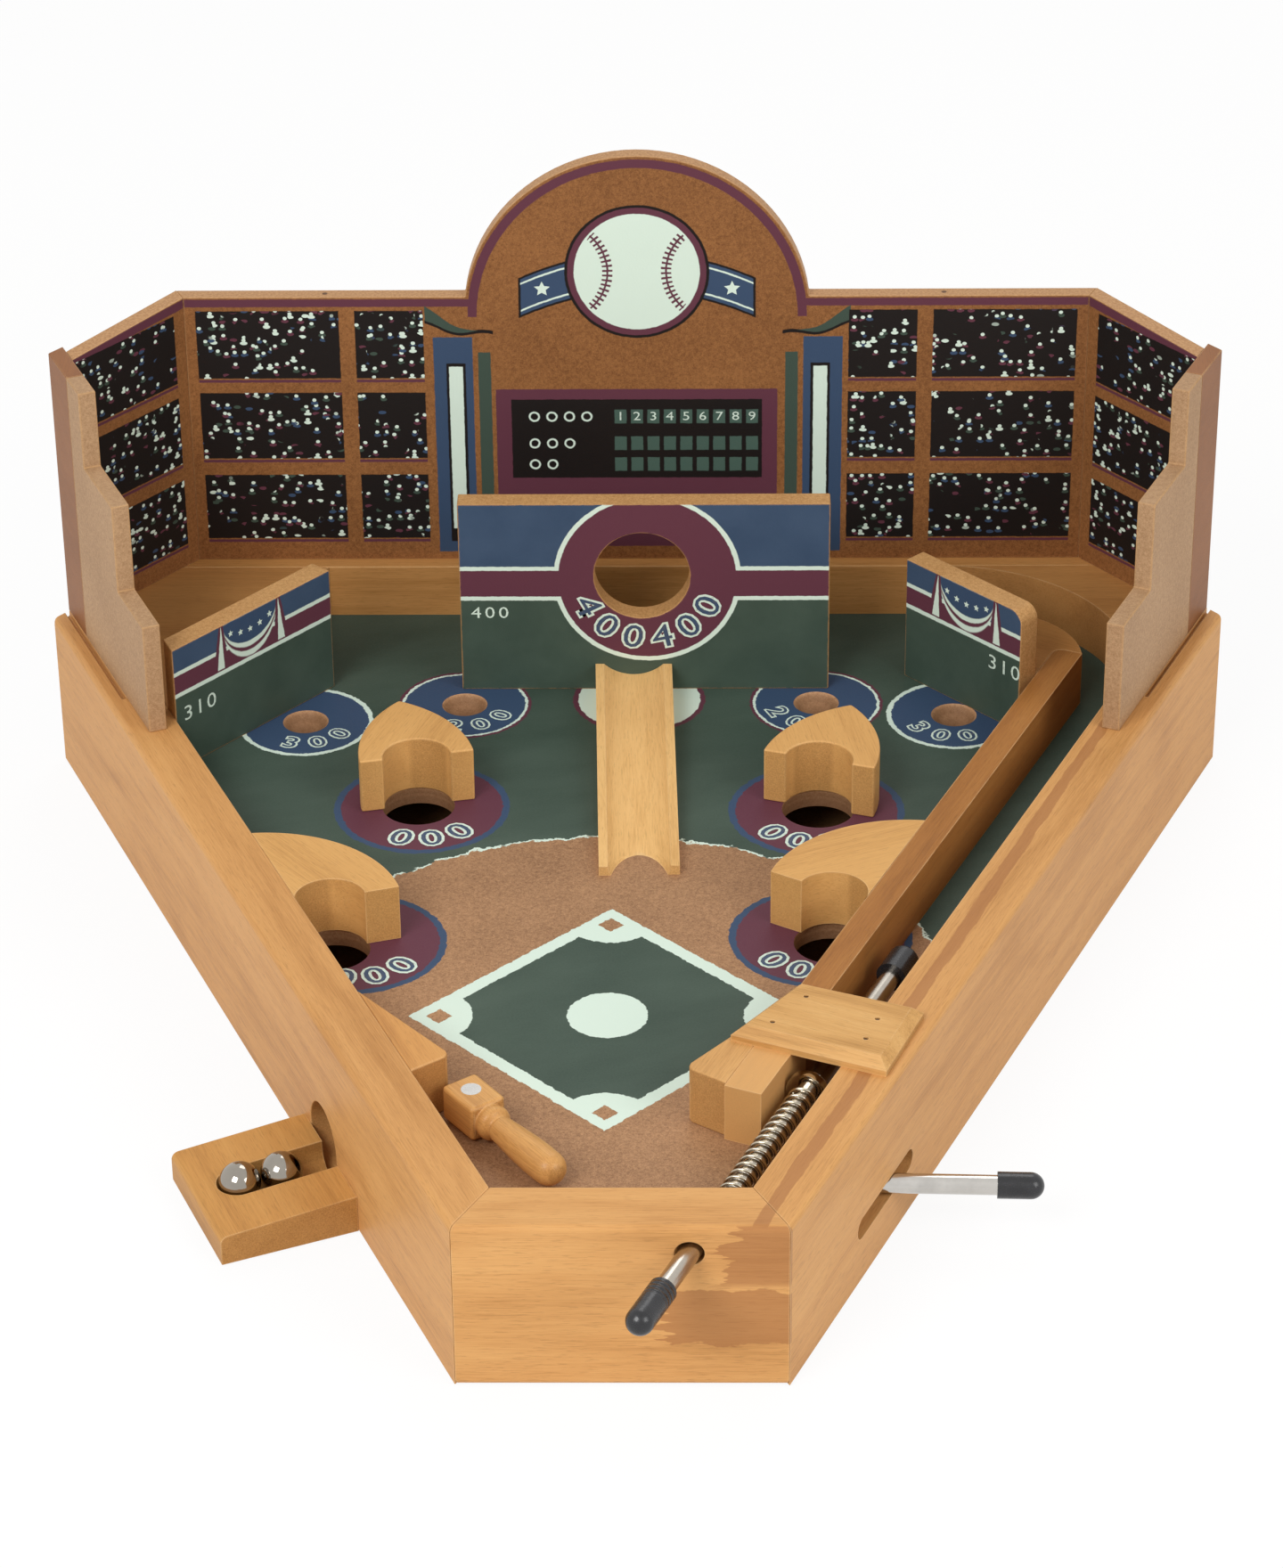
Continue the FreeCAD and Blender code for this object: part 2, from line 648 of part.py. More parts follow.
# Guards
guard_top = FIELD_TOP + GUARD_HIGH
half_guard = GUARD_WIDE / 2
arc_x = GUARD_ARC_R - half_guard
apex_y = math.sqrt(GUARD_ARC_R ** 2 - arc_x ** 2)
lean = math.atan2(apex_y, -arc_x) / 2 + math.pi / 2
arc_middle = (arc_x + GUARD_ARC_R * math.cos(lean), GUARD_ARC_R * math.sin(lean))
for key in ("upper_left", "upper_right"):
    arch = prism([(half_guard, 0), ("arc", (-arc_middle[0], arc_middle[1]), (0, apex_y)),
                  ("arc", arc_middle, (-half_guard, 0)), (-half_guard, 0)], FIELD_TOP, guard_top)
    arch = arch.cut(post(0, 0, GUARD_MOUTH_R, 0, CASE_HEIGHT * 2))
    write(key + "_guard", placed(arch, OUT_HOLES[key], UPPER_GUARD_TURN[key]))


def half_arch(hole, corner, line, apex_s, side, inset):
    """Half guard that leans on a wall or rail line."""
    corner = (hole[0] + corner[0], hole[1] + corner[1])
    apex = side(apex_s, inset)
    foot = meet(corner, hole, *line)
    if hole[0] < 0:
        outline = [foot, corner, ("arc", bowed(corner, apex, GUARD_ARC_R), apex)]
    else:
        outline = [foot, apex, ("arc", bowed(apex, corner, GUARD_ARC_R), corner)]
    return prism(outline, FIELD_TOP, guard_top).cut(post(*hole, GUARD_MOUTH_R, 0, CASE_HEIGHT * 2))


write("lower_left_guard", half_arch(OUT_HOLES["lower_left"], LEFT_GUARD_CORNER, left_wall_line,
                                    LEFT_GUARD_APEX_S, left, SIDE_THICK))
write("lower_right_guard", half_arch(OUT_HOLES["lower_right"], RIGHT_GUARD_CORNER, rail_line,
                                     RIGHT_GUARD_APEX_S, right, RAIL_LEFT))

# Fences
center = Part.makeBox(FENCE_RIGHT - FENCE_LEFT, FENCE_THICK, FENCE_TOP - FIELD_TOP,
                      V(FENCE_LEFT, FENCE_Y, FIELD_TOP))
center = center.cut(Part.makeCylinder(TARGET_R, FENCE_THICK * 3, V(TARGET_X, FENCE_Y - FENCE_THICK, TARGET_Z),
                                      V(0, 1, 0)))
write("center_fence", center)
left_fence = prism([LEFT_FENCE_START, left_back, left_back_end, left_front_end], FIELD_TOP, SIDE_FENCE_TOP)
write("left_fence", left_fence)
right_front_end = (right_back_end[0] + RIGHT_FENCE_START[0] - right_back[0],
                   right_back_end[1] + RIGHT_FENCE_START[1] - right_back[1])
right_fence = prism([RIGHT_FENCE_START, right_back, right_back_end, right_front_end], FIELD_TOP, SIDE_FENCE_TOP)
right_fence = softened(right_fence, SIDE_FENCE_CORNER_R, lambda m, r: m.z > SIDE_FENCE_TOP - 0.01 and
                       math.dist((m.x, m.y), ((right_front_end[0] + right_back_end[0]) / 2,
                                              (right_front_end[1] + right_back_end[1]) / 2)) < 0.5)
write("right_fence", right_fence)

# Ramp: a wedge with a routed groove, flush against the fence
groove_r = (RAMP_GROOVE_HALF ** 2 + RAMP_GROOVE_DEEP ** 2) / (2 * RAMP_GROOVE_DEEP)
half_ramp = RAMP_WIDE / 2
ramp_back = RAMP_LENGTH / 2 + 3
wedge_slope = (RAMP_HIGH - RAMP_LOW) / RAMP_LENGTH
side_face = [V(-half_ramp, -RAMP_LENGTH / 2, FIELD_TOP), V(-half_ramp, ramp_back, FIELD_TOP),
             V(-half_ramp, ramp_back, FIELD_TOP + RAMP_HIGH + 3 * wedge_slope),
             V(-half_ramp, -RAMP_LENGTH / 2, FIELD_TOP + RAMP_LOW)]
ramp = Part.Face(Part.makePolygon(side_face + [side_face[0]])).extrude(V(RAMP_WIDE, 0, 0))
groove_way = V(0, RAMP_LENGTH, RAMP_HIGH - RAMP_LOW)
groove_way.normalize()
groove_from = V(0, -RAMP_LENGTH / 2, FIELD_TOP + RAMP_LOW - RAMP_GROOVE_DEEP + groove_r) - groove_way * 20
ramp = ramp.cut(Part.makeCylinder(groove_r, RAMP_LENGTH + 60, groove_from, groove_way))
scoop_way = V(0, 1, RAMP_SCOOP_SLOPE)
scoop_low = V(0, RAMP_SCOOP_LONG - RAMP_LENGTH / 2, FIELD_TOP)
scoop_from = scoop_low + V(0, -RAMP_SCOOP_SLOPE, 1).normalize() * RAMP_SCOOP_R - V(scoop_way).normalize() * 40
ramp = ramp.cut(Part.makeCylinder(RAMP_SCOOP_R, 48, scoop_from, scoop_way))
ramp = placed(ramp, (RAMP_X, FENCE_Y - RAMP_LENGTH / 2), RAMP_TURN)
write("ramp", ramp.cut(Part.makeBox(200, 60, 200, V(-100, FENCE_Y, 0))))

# Bridge plate and its nails
bridge = prism(BRIDGE_CORNERS, CASE_HEIGHT, bridge_top)
bevel = [e for e in bridge.Edges if min(v.Point.z for v in e.Vertexes) > bridge_top - 0.01]
bridge = bridge.makeChamfer(BRIDGE_BEVEL, bevel)
write("bridge_plate", drilled(bridge, nail_holes))
write("bridge_nails", Part.makeCompound(nails))

# Plunger
write("plunger_rod", rod(-KNOB_OUT + 3, TIP_AT + TIP_LONG / 2, ROD_R))
bar = rod(-KNOB_OUT + 3, TIP_AT + TIP_LONG / 2, ROD_R)


def capped(radius, length, at, way, bar_shape):
    """Round-ended cap on the end of a bar, bored for the bar."""
    body = Part.makeCylinder(radius, length - radius, at, way)
    end = at + way * (length - radius)
    return body.fuse(Part.makeSphere(radius, end)).removeSplitter().cut(bar_shape)


write("plunger_knob", capped(KNOB_R, KNOB_LONG, along(-KNOB_OUT + KNOB_LONG), AXIS * -1, bar))
dome_rise = COLLAR_LONG - COLLAR_RIM
dome_r = (COLLAR_R ** 2 + dome_rise ** 2) / (2 * dome_rise)
collar = rod(COLLAR_AT, COLLAR_AT + COLLAR_RIM, COLLAR_R)
dome = Part.makeSphere(dome_r, along(COLLAR_AT + COLLAR_LONG - dome_r))
dome = dome.common(rod(COLLAR_AT + COLLAR_RIM, COLLAR_AT + COLLAR_LONG + 5, COLLAR_R))
write("plunger_collar", collar.fuse(dome).removeSplitter().cut(bar))
tip = rod(TIP_AT, TIP_AT + TIP_LONG, TIP_R)
tip = softened(tip, 1.2, lambda m, r: (m - along(TIP_AT + TIP_LONG)).Length < TIP_R + 0.1)
write("plunger_tip", tip.cut(bar))
washer = rod(WASHER_BACK, WASHER_FACE, WASHER_R).cut(rod(0, 60, ROD_R + WASHER_PLAY))
write("spring_washer", washer)
spring = coil(COLLAR_AT - WASHER_FACE, SPRING_R, SPRING_WIRE_R, SPRING_TURNS)
spring.Placement = FreeCAD.Placement(along(WASHER_FACE), FreeCAD.Rotation(UP, AXIS))
write("plunger_spring", spring)

# Bat: a turned barrel on a square heel, pinned to an upright shaft
bat_low = FIELD_TOP + BAT_LIFT
bat_top = bat_low + BAT_BLOCK_HIGH
bat_axis_z = bat_low + BAT_BLOCK_HIGH / 2
heel = Part.makeBox(BAT_BLOCK_BACK + BAT_BLOCK_FRONT, BAT_BLOCK_WIDE, BAT_BLOCK_HIGH,
                    V(-BAT_BLOCK_BACK, -BAT_BLOCK_WIDE / 2, bat_low))
heel = heel.makeFillet(1.4, heel.Edges)
profile = [(BAT_BLOCK_FRONT - 3, 0), (BAT_BLOCK_FRONT - 3, 5.0), (BAT_BLOCK_FRONT + 0.8, 5.0),
           (BAT_BLOCK_FRONT + 2.2, 5.4), (BAT_BLOCK_FRONT + 3.6, 5.0), (BAT_BLOCK_FRONT + 4.8, BAT_NECK_R),
           (BAT_BLOCK_FRONT + 6.2, BAT_NECK_R + 0.3)]
bead = Part.BSplineCurve()
bead.interpolate([V(x, 0, r) for x, r in profile[2:]])
nose_r = BAT_BARREL_R - BAT_TIP_TAPER
barrel_x = BAT_LONG - nose_r
barrel = Part.BSplineCurve()
barrel.interpolate([V(BAT_BLOCK_FRONT + 6.2, 0, BAT_NECK_R + 0.3), V(BAT_LONG * 0.5, 0, BAT_BARREL_R - 0.6),
                    V(BAT_LONG * 0.72, 0, BAT_BARREL_R), V(barrel_x, 0, nose_r)])
nose_arc = Part.Arc(V(barrel_x, 0, nose_r), V(barrel_x + nose_r / math.sqrt(2), 0, nose_r / math.sqrt(2)),
                    V(BAT_LONG, 0, 0))
outline = [Part.LineSegment(V(profile[0][0], 0, 0), V(profile[1][0], 0, profile[1][1])).toShape(),
           Part.LineSegment(V(profile[1][0], 0, profile[1][1]), V(profile[2][0], 0, profile[2][1])).toShape(),
           bead.toShape(), barrel.toShape(), nose_arc.toShape(),
           Part.LineSegment(V(BAT_LONG, 0, 0), V(profile[0][0], 0, 0)).toShape()]
turned_bat = Part.Face(Part.Wire(outline)).revolve(V(0, 0, 0), V(1, 0, 0), 360)
turned_bat.translate(V(0, 0, bat_axis_z))
bat = heel.fuse(turned_bat).removeSplitter().cut(post(0, 0, SHAFT_R, 0, CASE_HEIGHT * 2))
write("bat", placed(bat, BAT_PIVOT, BAT_TURN))
crank_bore_low = BOTTOM_THICK + 1.0
write("bat_shaft", post(*BAT_PIVOT, SHAFT_R, crank_bore_low, bat_top))
bearing = Part.makeBox(BEARING_SIDE, BEARING_SIDE, BEARING_TOP - BOTTOM_THICK,
                       V(BAT_PIVOT[0] - BEARING_SIDE / 2, BAT_PIVOT[1] - BEARING_SIDE / 2, BOTTOM_THICK))
write("bat_bearing", bearing.cut(post(*BAT_PIVOT, SHAFT_R + RUNNING, 0, CASE_HEIGHT * 2)))

# Crank under the playfield, set so that the bat's swing is even about the line to the lever's pivot
centre_turn = math.degrees(math.atan2(LEVER_PIVOT[1] - BAT_PIVOT[1], LEVER_PIVOT[0] - BAT_PIVOT[0]))
crank_turn = centre_turn - SWING_HALF
crank_pin = turned((BAT_PIVOT[0] + CRANK_LONG, BAT_PIVOT[1]), crank_turn, BAT_PIVOT)
crank_top = CRANK_Z + CRANK_THICK
crank = Part.makeBox(CRANK_LONG, CRANK_WIDE, CRANK_THICK, V(0, -CRANK_WIDE / 2, CRANK_Z))
crank = crank.fuse(post(0, 0, CRANK_WIDE / 2 + 1, CRANK_Z, crank_top))
crank = crank.fuse(post(CRANK_LONG, 0, CRANK_WIDE / 2, CRANK_Z, crank_top)).removeSplitter()
crank = crank.cut(post(0, 0, SHAFT_R, 0, CASE_HEIGHT * 2))
crank = crank.cut(post(CRANK_LONG, 0, CRANK_PIN_R, 0, CASE_HEIGHT * 2))
write("bat_crank", placed(crank, BAT_PIVOT, crank_turn))
write("crank_pin", post(*crank_pin, CRANK_PIN_R, CRANK_Z, CRANK_PIN_TOP))
spring_low = BEARING_TOP + SPRING_CLEAR
bat_spring = coil(CRANK_Z - spring_low, BAT_SPRING_R, BAT_SPRING_WIRE_R, BAT_SPRING_TURNS)
bat_spring.translate(V(*BAT_PIVOT, spring_low))
write("bat_spring", bat_spring)

# Lever with its hub and fork
hub_middle = V(*LEVER_PIVOT, LEVER_Z)
lever_way = V(math.cos(math.radians(LEVER_TURN)), math.sin(math.radians(LEVER_TURN)), 0)
lever_from = PIVOT_SCREW_R + 1.5
lever_bar = Part.makeCylinder(ROD_R, LEVER_REACH - 3 - lever_from, hub_middle + lever_way * lever_from, lever_way)
write("lever_rod", lever_bar)
cap_at = hub_middle + lever_way * (LEVER_REACH - LEVER_CAP_LONG)
write("lever_cap", capped(LEVER_CAP_R, LEVER_CAP_LONG, cap_at, lever_way, lever_bar))
screw_bore = post(*LEVER_PIVOT, PIVOT_SCREW_R + RUNNING, 0, CASE_HEIGHT * 2)
write("lever_hub", post(*LEVER_PIVOT, HUB_R, HUB_LOW, HUB_HIGH).cut(screw_bore).cut(lever_bar))
arm_turn = math.degrees(math.atan2(crank_pin[1] - LEVER_PIVOT[1], crank_pin[0] - LEVER_PIVOT[0]))
fork_top = HUB_HIGH + FORK_THICK
fork = post(0, 0, HUB_R, HUB_HIGH, fork_top)
fork = fork.fuse(prism([(0, -FORK_NECK / 2), (FORK_SLOT_FROM - 6, -FORK_NECK / 2),
                        (FORK_SLOT_FROM, -FORK_WIDE / 2), (FORK_SLOT_TO + FORK_END, -FORK_WIDE / 2),
                        (FORK_SLOT_TO + FORK_END, FORK_WIDE / 2), (FORK_SLOT_FROM, FORK_WIDE / 2),
                        (FORK_SLOT_FROM - 6, FORK_NECK / 2), (0, FORK_NECK / 2)], HUB_HIGH, fork_top))
fork = fork.removeSplitter()
fork = fork.cut(Part.makeBox(FORK_SLOT_TO - FORK_SLOT_FROM, FORK_SLOT, FORK_THICK + 2,
                             V(FORK_SLOT_FROM, -FORK_SLOT / 2, HUB_HIGH - 1)))
fork = fork.cut(post(0, 0, PIVOT_SCREW_R + RUNNING, 0, CASE_HEIGHT * 2))
write("lever_fork", placed(fork, LEVER_PIVOT, arm_turn))
pivot_head = fork_top + 0.3
screw = post(*LEVER_PIVOT, PIVOT_SCREW_R, BOTTOM_THICK, pivot_head + 1)
screw = screw.fuse(post(*LEVER_PIVOT, PIVOT_HEAD_R, pivot_head, pivot_head + 2)).removeSplitter()
write("lever_pivot", screw)
block_half = PIVOT_BLOCK_SIDE / 2
pivot_block = Part.makeBox(PIVOT_BLOCK_SIDE, PIVOT_BLOCK_SIDE, HUB_LOW - 0.2 - BOTTOM_THICK,
                           V(LEVER_PIVOT[0] - block_half, LEVER_PIVOT[1] - block_half, BOTTOM_THICK))
write("lever_block", pivot_block.cut(post(*LEVER_PIVOT, PIVOT_SCREW_R, 0, CASE_HEIGHT * 2)))

# Ball return: a tilted floor that ends at a strip, and leads to the hole in the left wall
hole_spot = left(RETURN_HOLE_S, SIDE_THICK)


def floor_over(x, y):
    """Height of the return floor."""
    return FLOOR_AT_HOLE + FLOOR_SLOPE_X * (x - hole_spot[0]) + FLOOR_SLOPE_Y * (y - hole_spot[1])


def floor_beneath(x, y):
    """Underside of the return floor."""
    return floor_over(x, y) - FLOOR_THICK


strip = [left(DIVIDER_LEFT_S, SIDE_THICK)] + DIVIDER + [right(DIVIDER_RIGHT_S, SIDE_THICK)]
ahead_strip = [left(DIVIDER_LEFT_S - DIVIDER_THICK, SIDE_THICK), (DIVIDER[0][0], DIVIDER[0][1] - DIVIDER_THICK),
               right(DIVIDER_RIGHT_S - DIVIDER_THICK, SIDE_THICK)]
strip_solid = prism(strip + ahead_strip[::-1], BOTTOM_THICK, FIELD_UNDER)
write("return_divider", drilled(strip_solid, cleats))
floor_points = strip + [(wall_at(FLOOR_BACK_Y, SIDE_THICK), FLOOR_BACK_Y),
                        (-wall_at(FLOOR_BACK_Y, SIDE_THICK), FLOOR_BACK_Y)]
write("return_floor", sloped(floor_points, floor_beneath, floor_over).cut(left_corner))
batten_y = FLOOR_BACK_Y - BATTEN_WIDE
batten_points = [(-wall_at(batten_y, SIDE_THICK), batten_y), (wall_at(batten_y, SIDE_THICK), batten_y),
                 (wall_at(FLOOR_BACK_Y, SIDE_THICK), FLOOR_BACK_Y),
                 (-wall_at(FLOOR_BACK_Y, SIDE_THICK), FLOOR_BACK_Y)]
write("floor_batten", sloped(batten_points, lambda x, y: BOTTOM_THICK, floor_beneath).cut(left_corner))

# Tray on the left wall, with its round-bottomed groove
wall_turn = 180 + math.degrees(math.atan2(SIN, COS))
tray_side = [V(0, 0, 0), V(TRAY_OUT, 0, 0), V(TRAY_OUT, 0, TRAY_LOW), V(0, 0, TRAY_HIGH), V(0, 0, 0)]
tray = Part.Face(Part.makePolygon(tray_side)).extrude(V(0, TRAY_S[1] - TRAY_S[0], 0))
tray = softened(tray, TRAY_EDGE_R, lambda m, r: abs(m.x - TRAY_OUT) < 0.01 and m.z > TRAY_LOW - 0.01 and abs(r.y) > 0.9)
groove_y = TRAY_S[1] - GROOVE_S
groove_z = GROOVE_FLOOR + GROOVE_R
groove = Part.makeCylinder(GROOVE_R, GROOVE_END + 5, V(-5, groove_y, groove_z), V(1, 0, 0))
groove = groove.fuse(Part.makeSphere(GROOVE_R, V(GROOVE_END, groove_y, groove_z)))
groove = groove.fuse(Part.makeBox(GROOVE_END + 5, 2 * GROOVE_R, 10, V(-5, groove_y - GROOVE_R, groove_z)))
groove = groove.fuse(Part.makeCylinder(GROOVE_R, 10, V(GROOVE_END, groove_y, groove_z)))
tray = placed(tray.cut(groove), left(TRAY_S[1], 0), wall_turn)
write("ball_tray", tray)
ball_z = GROOVE_FLOOR + BALL_R + BALL_REST
for name, out in (("ball_1", GROOVE_END), ("ball_2", GROOVE_END - 2 * BALL_R - 0.3)):
    write(name, Part.makeSphere(BALL_R, V(*left(GROOVE_S, -out), ball_z)))

# Stadium: domed back panel, two wings and two stepped side panels with their stiles
diag_run = (diagonal[0][0] - diagonal[1][0], diagonal[0][1] - diagonal[1][1])
diag_long = math.hypot(*diag_run)
wing_run = (diag_run[0] / diag_long, diag_run[1] / diag_long)
wing_back = (-wing_run[1], wing_run[0])
junction = (PANEL_HALF, PANEL_Y)
wing_outer = (junction[0] + wing_back[0] * PANEL_THICK, junction[1] + wing_back[1] * PANEL_THICK)
panel_back_y = PANEL_Y + PANEL_THICK
mitre = meet(wing_outer, ahead(wing_outer, wing_run, 10), (0, panel_back_y), (10, panel_back_y))
panel = prism([mirror(junction), junction, mitre, mirror(mitre)], CASE_HEIGHT, PANEL_TOP)
dome_disc = Part.makeCylinder(DOME_R, PANEL_THICK, V(DOME_X, PANEL_Y, DOME_Z), V(0, 1, 0))
write("back_panel", panel.fuse(dome_disc).removeSplitter())

step_in = STEP_INSET + PANEL_THICK
step_lines = (right(0, step_in), right(100, step_in))
wing_in_end = meet(junction, ahead(junction, wing_run, 10), *step_lines)
wing_out_end = meet(wing_outer, ahead(wing_outer, wing_run, 10), *step_lines)
wing_fall = (PANEL_TOP - WING_END_TOP) / math.dist(junction, wing_in_end)


def wing_over(x, y):
    """Sloping top of a wing."""
    return PANEL_TOP - wing_fall * ((abs(x) - junction[0]) * wing_run[0] + (y - junction[1]) * wing_run[1])


for side_name, turn in (("left", mirror), ("right", lambda point: point)):
    outline = [turn(p) for p in (junction, wing_in_end, wing_out_end, mitre)]
    if side_name == "left":
        outline.reverse()
    write(side_name + "_wing", sloped(outline, lambda x, y: CASE_HEIGHT, wing_over))


def stepped_face(first, last):
    """Side panel between two distances from the rear end, under the stepped profile."""
    pieces = None
    start = 0.0
    for reach, top in STEPS:
        a, b = max(first, start), min(last, reach)
        if b > a:
            block = Part.makeBox(b - a, PANEL_THICK, top - CASE_HEIGHT, V(a, -PANEL_THICK, CASE_HEIGHT))
            pieces = block if pieces is None else pieces.fuse(block)
        start = reach
    return pieces.removeSplitter()


rear_inner = meet(right(0, step_in), right(100, step_in), *diagonal)
rear_cut = prism([step_rear, rear_inner, (rear_inner[0] + 5, rear_inner[1] + 30),
                  (step_rear[0] + 30, step_rear[1] + 5)], 0, 300)
for side_name in ("right", "left"):
    for part_name, first, last in (("stile", -20.0, STILE_WIDE), ("step_panel", STILE_WIDE, STEPS[-1][0])):
        board = stepped_face(max(first, 0.0), last)
        if part_name == "stile":
            board = board.fuse(Part.makeBox(20, PANEL_THICK, STEPS[0][1] - CASE_HEIGHT,
                                            V(-20, -PANEL_THICK, CASE_HEIGHT))).removeSplitter()
        board.rotate(V(0, 0, 0), UP, 270 - math.degrees(math.atan2(SIN, COS)))
        board.translate(V(*step_rear, 0))
        if part_name == "stile":
            board = board.cut(rear_cut)
        if side_name == "left":
            board = board.mirror(V(0, 0, 0), V(1, 0, 0))
        write("%s_%s" % (side_name, part_name), board)
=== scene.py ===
"""Wooden table-top baseball bagatelle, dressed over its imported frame.

Lengths in the dataclass fields are millimetres of the drawing frame, where Y is 0 at the front face
of the case. Meshes are built in metres, in the row frame, with Y moved back by half the depth.
"""

import logging
import math
from dataclasses import dataclass
from enum import Enum
from typing import List, Optional, Sequence, Tuple, Union

import bpy
from mathutils import Matrix, Vector


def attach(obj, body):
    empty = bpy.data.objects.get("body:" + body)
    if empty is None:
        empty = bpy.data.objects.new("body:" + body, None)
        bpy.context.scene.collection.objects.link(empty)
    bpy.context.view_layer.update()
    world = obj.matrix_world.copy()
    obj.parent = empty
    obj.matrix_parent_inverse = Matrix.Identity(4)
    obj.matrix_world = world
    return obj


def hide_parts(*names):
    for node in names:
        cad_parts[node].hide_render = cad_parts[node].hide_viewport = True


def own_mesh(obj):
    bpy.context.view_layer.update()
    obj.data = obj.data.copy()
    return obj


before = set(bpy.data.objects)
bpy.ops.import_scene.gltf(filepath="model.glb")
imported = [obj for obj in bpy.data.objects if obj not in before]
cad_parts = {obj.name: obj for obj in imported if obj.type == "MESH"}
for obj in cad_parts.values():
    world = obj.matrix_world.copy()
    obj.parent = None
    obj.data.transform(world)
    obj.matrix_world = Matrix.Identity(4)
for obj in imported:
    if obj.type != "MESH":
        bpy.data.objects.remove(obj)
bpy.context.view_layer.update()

MM = 0.001
HALF_DEPTH = 202.8
WALL_OUT = 151.5
WALL_BACK = 350.0
SLOPE = WALL_OUT / WALL_BACK
COS = 1.0 / math.sqrt(1.0 + SLOPE * SLOPE)
SIN = SLOPE * COS
FRONT_HALF = 47.25
WALL_TURN = math.degrees(math.atan2(COS, SIN))
FIELD_TOP = 36.0
X_WAY = Vector((1, 0, 0))
Y_WAY = Vector((0, 1, 0))
Z_WAY = Vector((0, 0, 1))
log = logging.getLogger("bagatelle")

Plan = Tuple[float, float]
Triple = Tuple[float, float, float]


def spot(x: float, y: float, z: float) -> Vector:
    """A drawing-frame point in millimetres as a row-frame point in metres."""
    return Vector((x * MM, (y - HALF_DEPTH) * MM, z * MM))


def level_way(degrees: float) -> Vector:
    """Level unit vector at an angle from X."""
    return Vector((math.cos(math.radians(degrees)), math.sin(math.radians(degrees)), 0))


def along_wall(x: "Signal", y: "Signal", start: float = FRONT_HALF) -> "Signal":
    """Distance along the right wall's direction from a point at x on the case's front face."""
    return (x - start) * SIN + y * COS


def tint(red: float, green: float, blue: float) -> Tuple[float, float, float, float]:
    """A colour as a screen shows it, 0 to 255, turned into the linear values that nodes take.

    Args:
        red: Red, 0 to 255.
        green: Green, 0 to 255.
        blue: Blue, 0 to 255.

    Returns:
        The linear colour with its alpha.
    """
    parts = [channel / 255.0 for channel in (red, green, blue)]
    linear = [p / 12.92 if p <= 0.04045 else ((p + 0.055) / 1.055) ** 2.4 for p in parts]
    return (linear[0], linear[1], linear[2], 1.0)


class Body(Enum):
    """The bodies of the frame that new pieces ride on."""

    CASE = "case"
    BAT = "bat"


class Ink(Enum):
    """Printing inks, as a screen shows them."""

    GREEN = (64, 80, 70)
    NAVY = (58, 78, 106)
    MAROON = (98, 54, 68)
    MINT = (218, 236, 222)
    BLACK = (26, 21, 20)
    DULL_GREEN = (74, 98, 88)

    def colour(self) -> Tuple[float, float, float, float]:
        """The ink's linear colour."""
        return tint(*self.value)


class Signal:
    """A node socket that takes part in sums, which add Math nodes."""

    def __init__(self, mixer: "Mixer", socket: bpy.types.NodeSocket) -> None:
        """Keeps the socket and the mixer that it belongs to."""
        self.mixer = mixer
        self.socket = socket

    def sum(self, operation: str, *others: Union["Signal", float], clamp: bool = False) -> "Signal":
        """Adds one Math node.

        Args:
            operation: The Math node's operation.
            others: Its second and third values.
            clamp: Whether the result stays between 0 and 1.

        Returns:
            The result's signal.
        """
        return self.mixer.maths(operation, self, *others, clamp=clamp)

    def __add__(self, other: Union["Signal", float]) -> "Signal":
        """self + other."""
        return self.sum("ADD", other)

    def __radd__(self, other: float) -> "Signal":
        """other + self."""
        return self.sum("ADD", other)

    def __sub__(self, other: Union["Signal", float]) -> "Signal":
        """self - other."""
        return self.sum("SUBTRACT", other)

    def __rsub__(self, other: float) -> "Signal":
        """other - self."""
        return self.mixer.maths("SUBTRACT", other, self)

    def __mul__(self, other: Union["Signal", float]) -> "Signal":
        """self * other."""
        return self.sum("MULTIPLY", other)

    def __rmul__(self, other: float) -> "Signal":
        """other * self."""
        return self.sum("MULTIPLY", other)

    def __truediv__(self, other: Union["Signal", float]) -> "Signal":
        """self / other."""
        return self.sum("DIVIDE", other)

    def __abs__(self) -> "Signal":
        """Distance from nothing."""
        return self.sum("ABSOLUTE")

    def over(self, edge: float, soft: float = 0.25) -> "Signal":
        """1 where the signal is over an edge, with a soft change of the given width."""
        return self.mixer.maths("MULTIPLY_ADD", self, 1.0 / soft, 0.5 - edge / soft, clamp=True)

    def under(self, edge: float, soft: float = 0.25) -> "Signal":
        """1 where the signal is under an edge."""
        return self.mixer.maths("MULTIPLY_ADD", self, -1.0 / soft, 0.5 + edge / soft, clamp=True)

    def between(self, low: float, high: float, soft: float = 0.25) -> "Signal":
        """1 between two edges."""
        return abs(self - (low + high) / 2).under((high - low) / 2, soft)


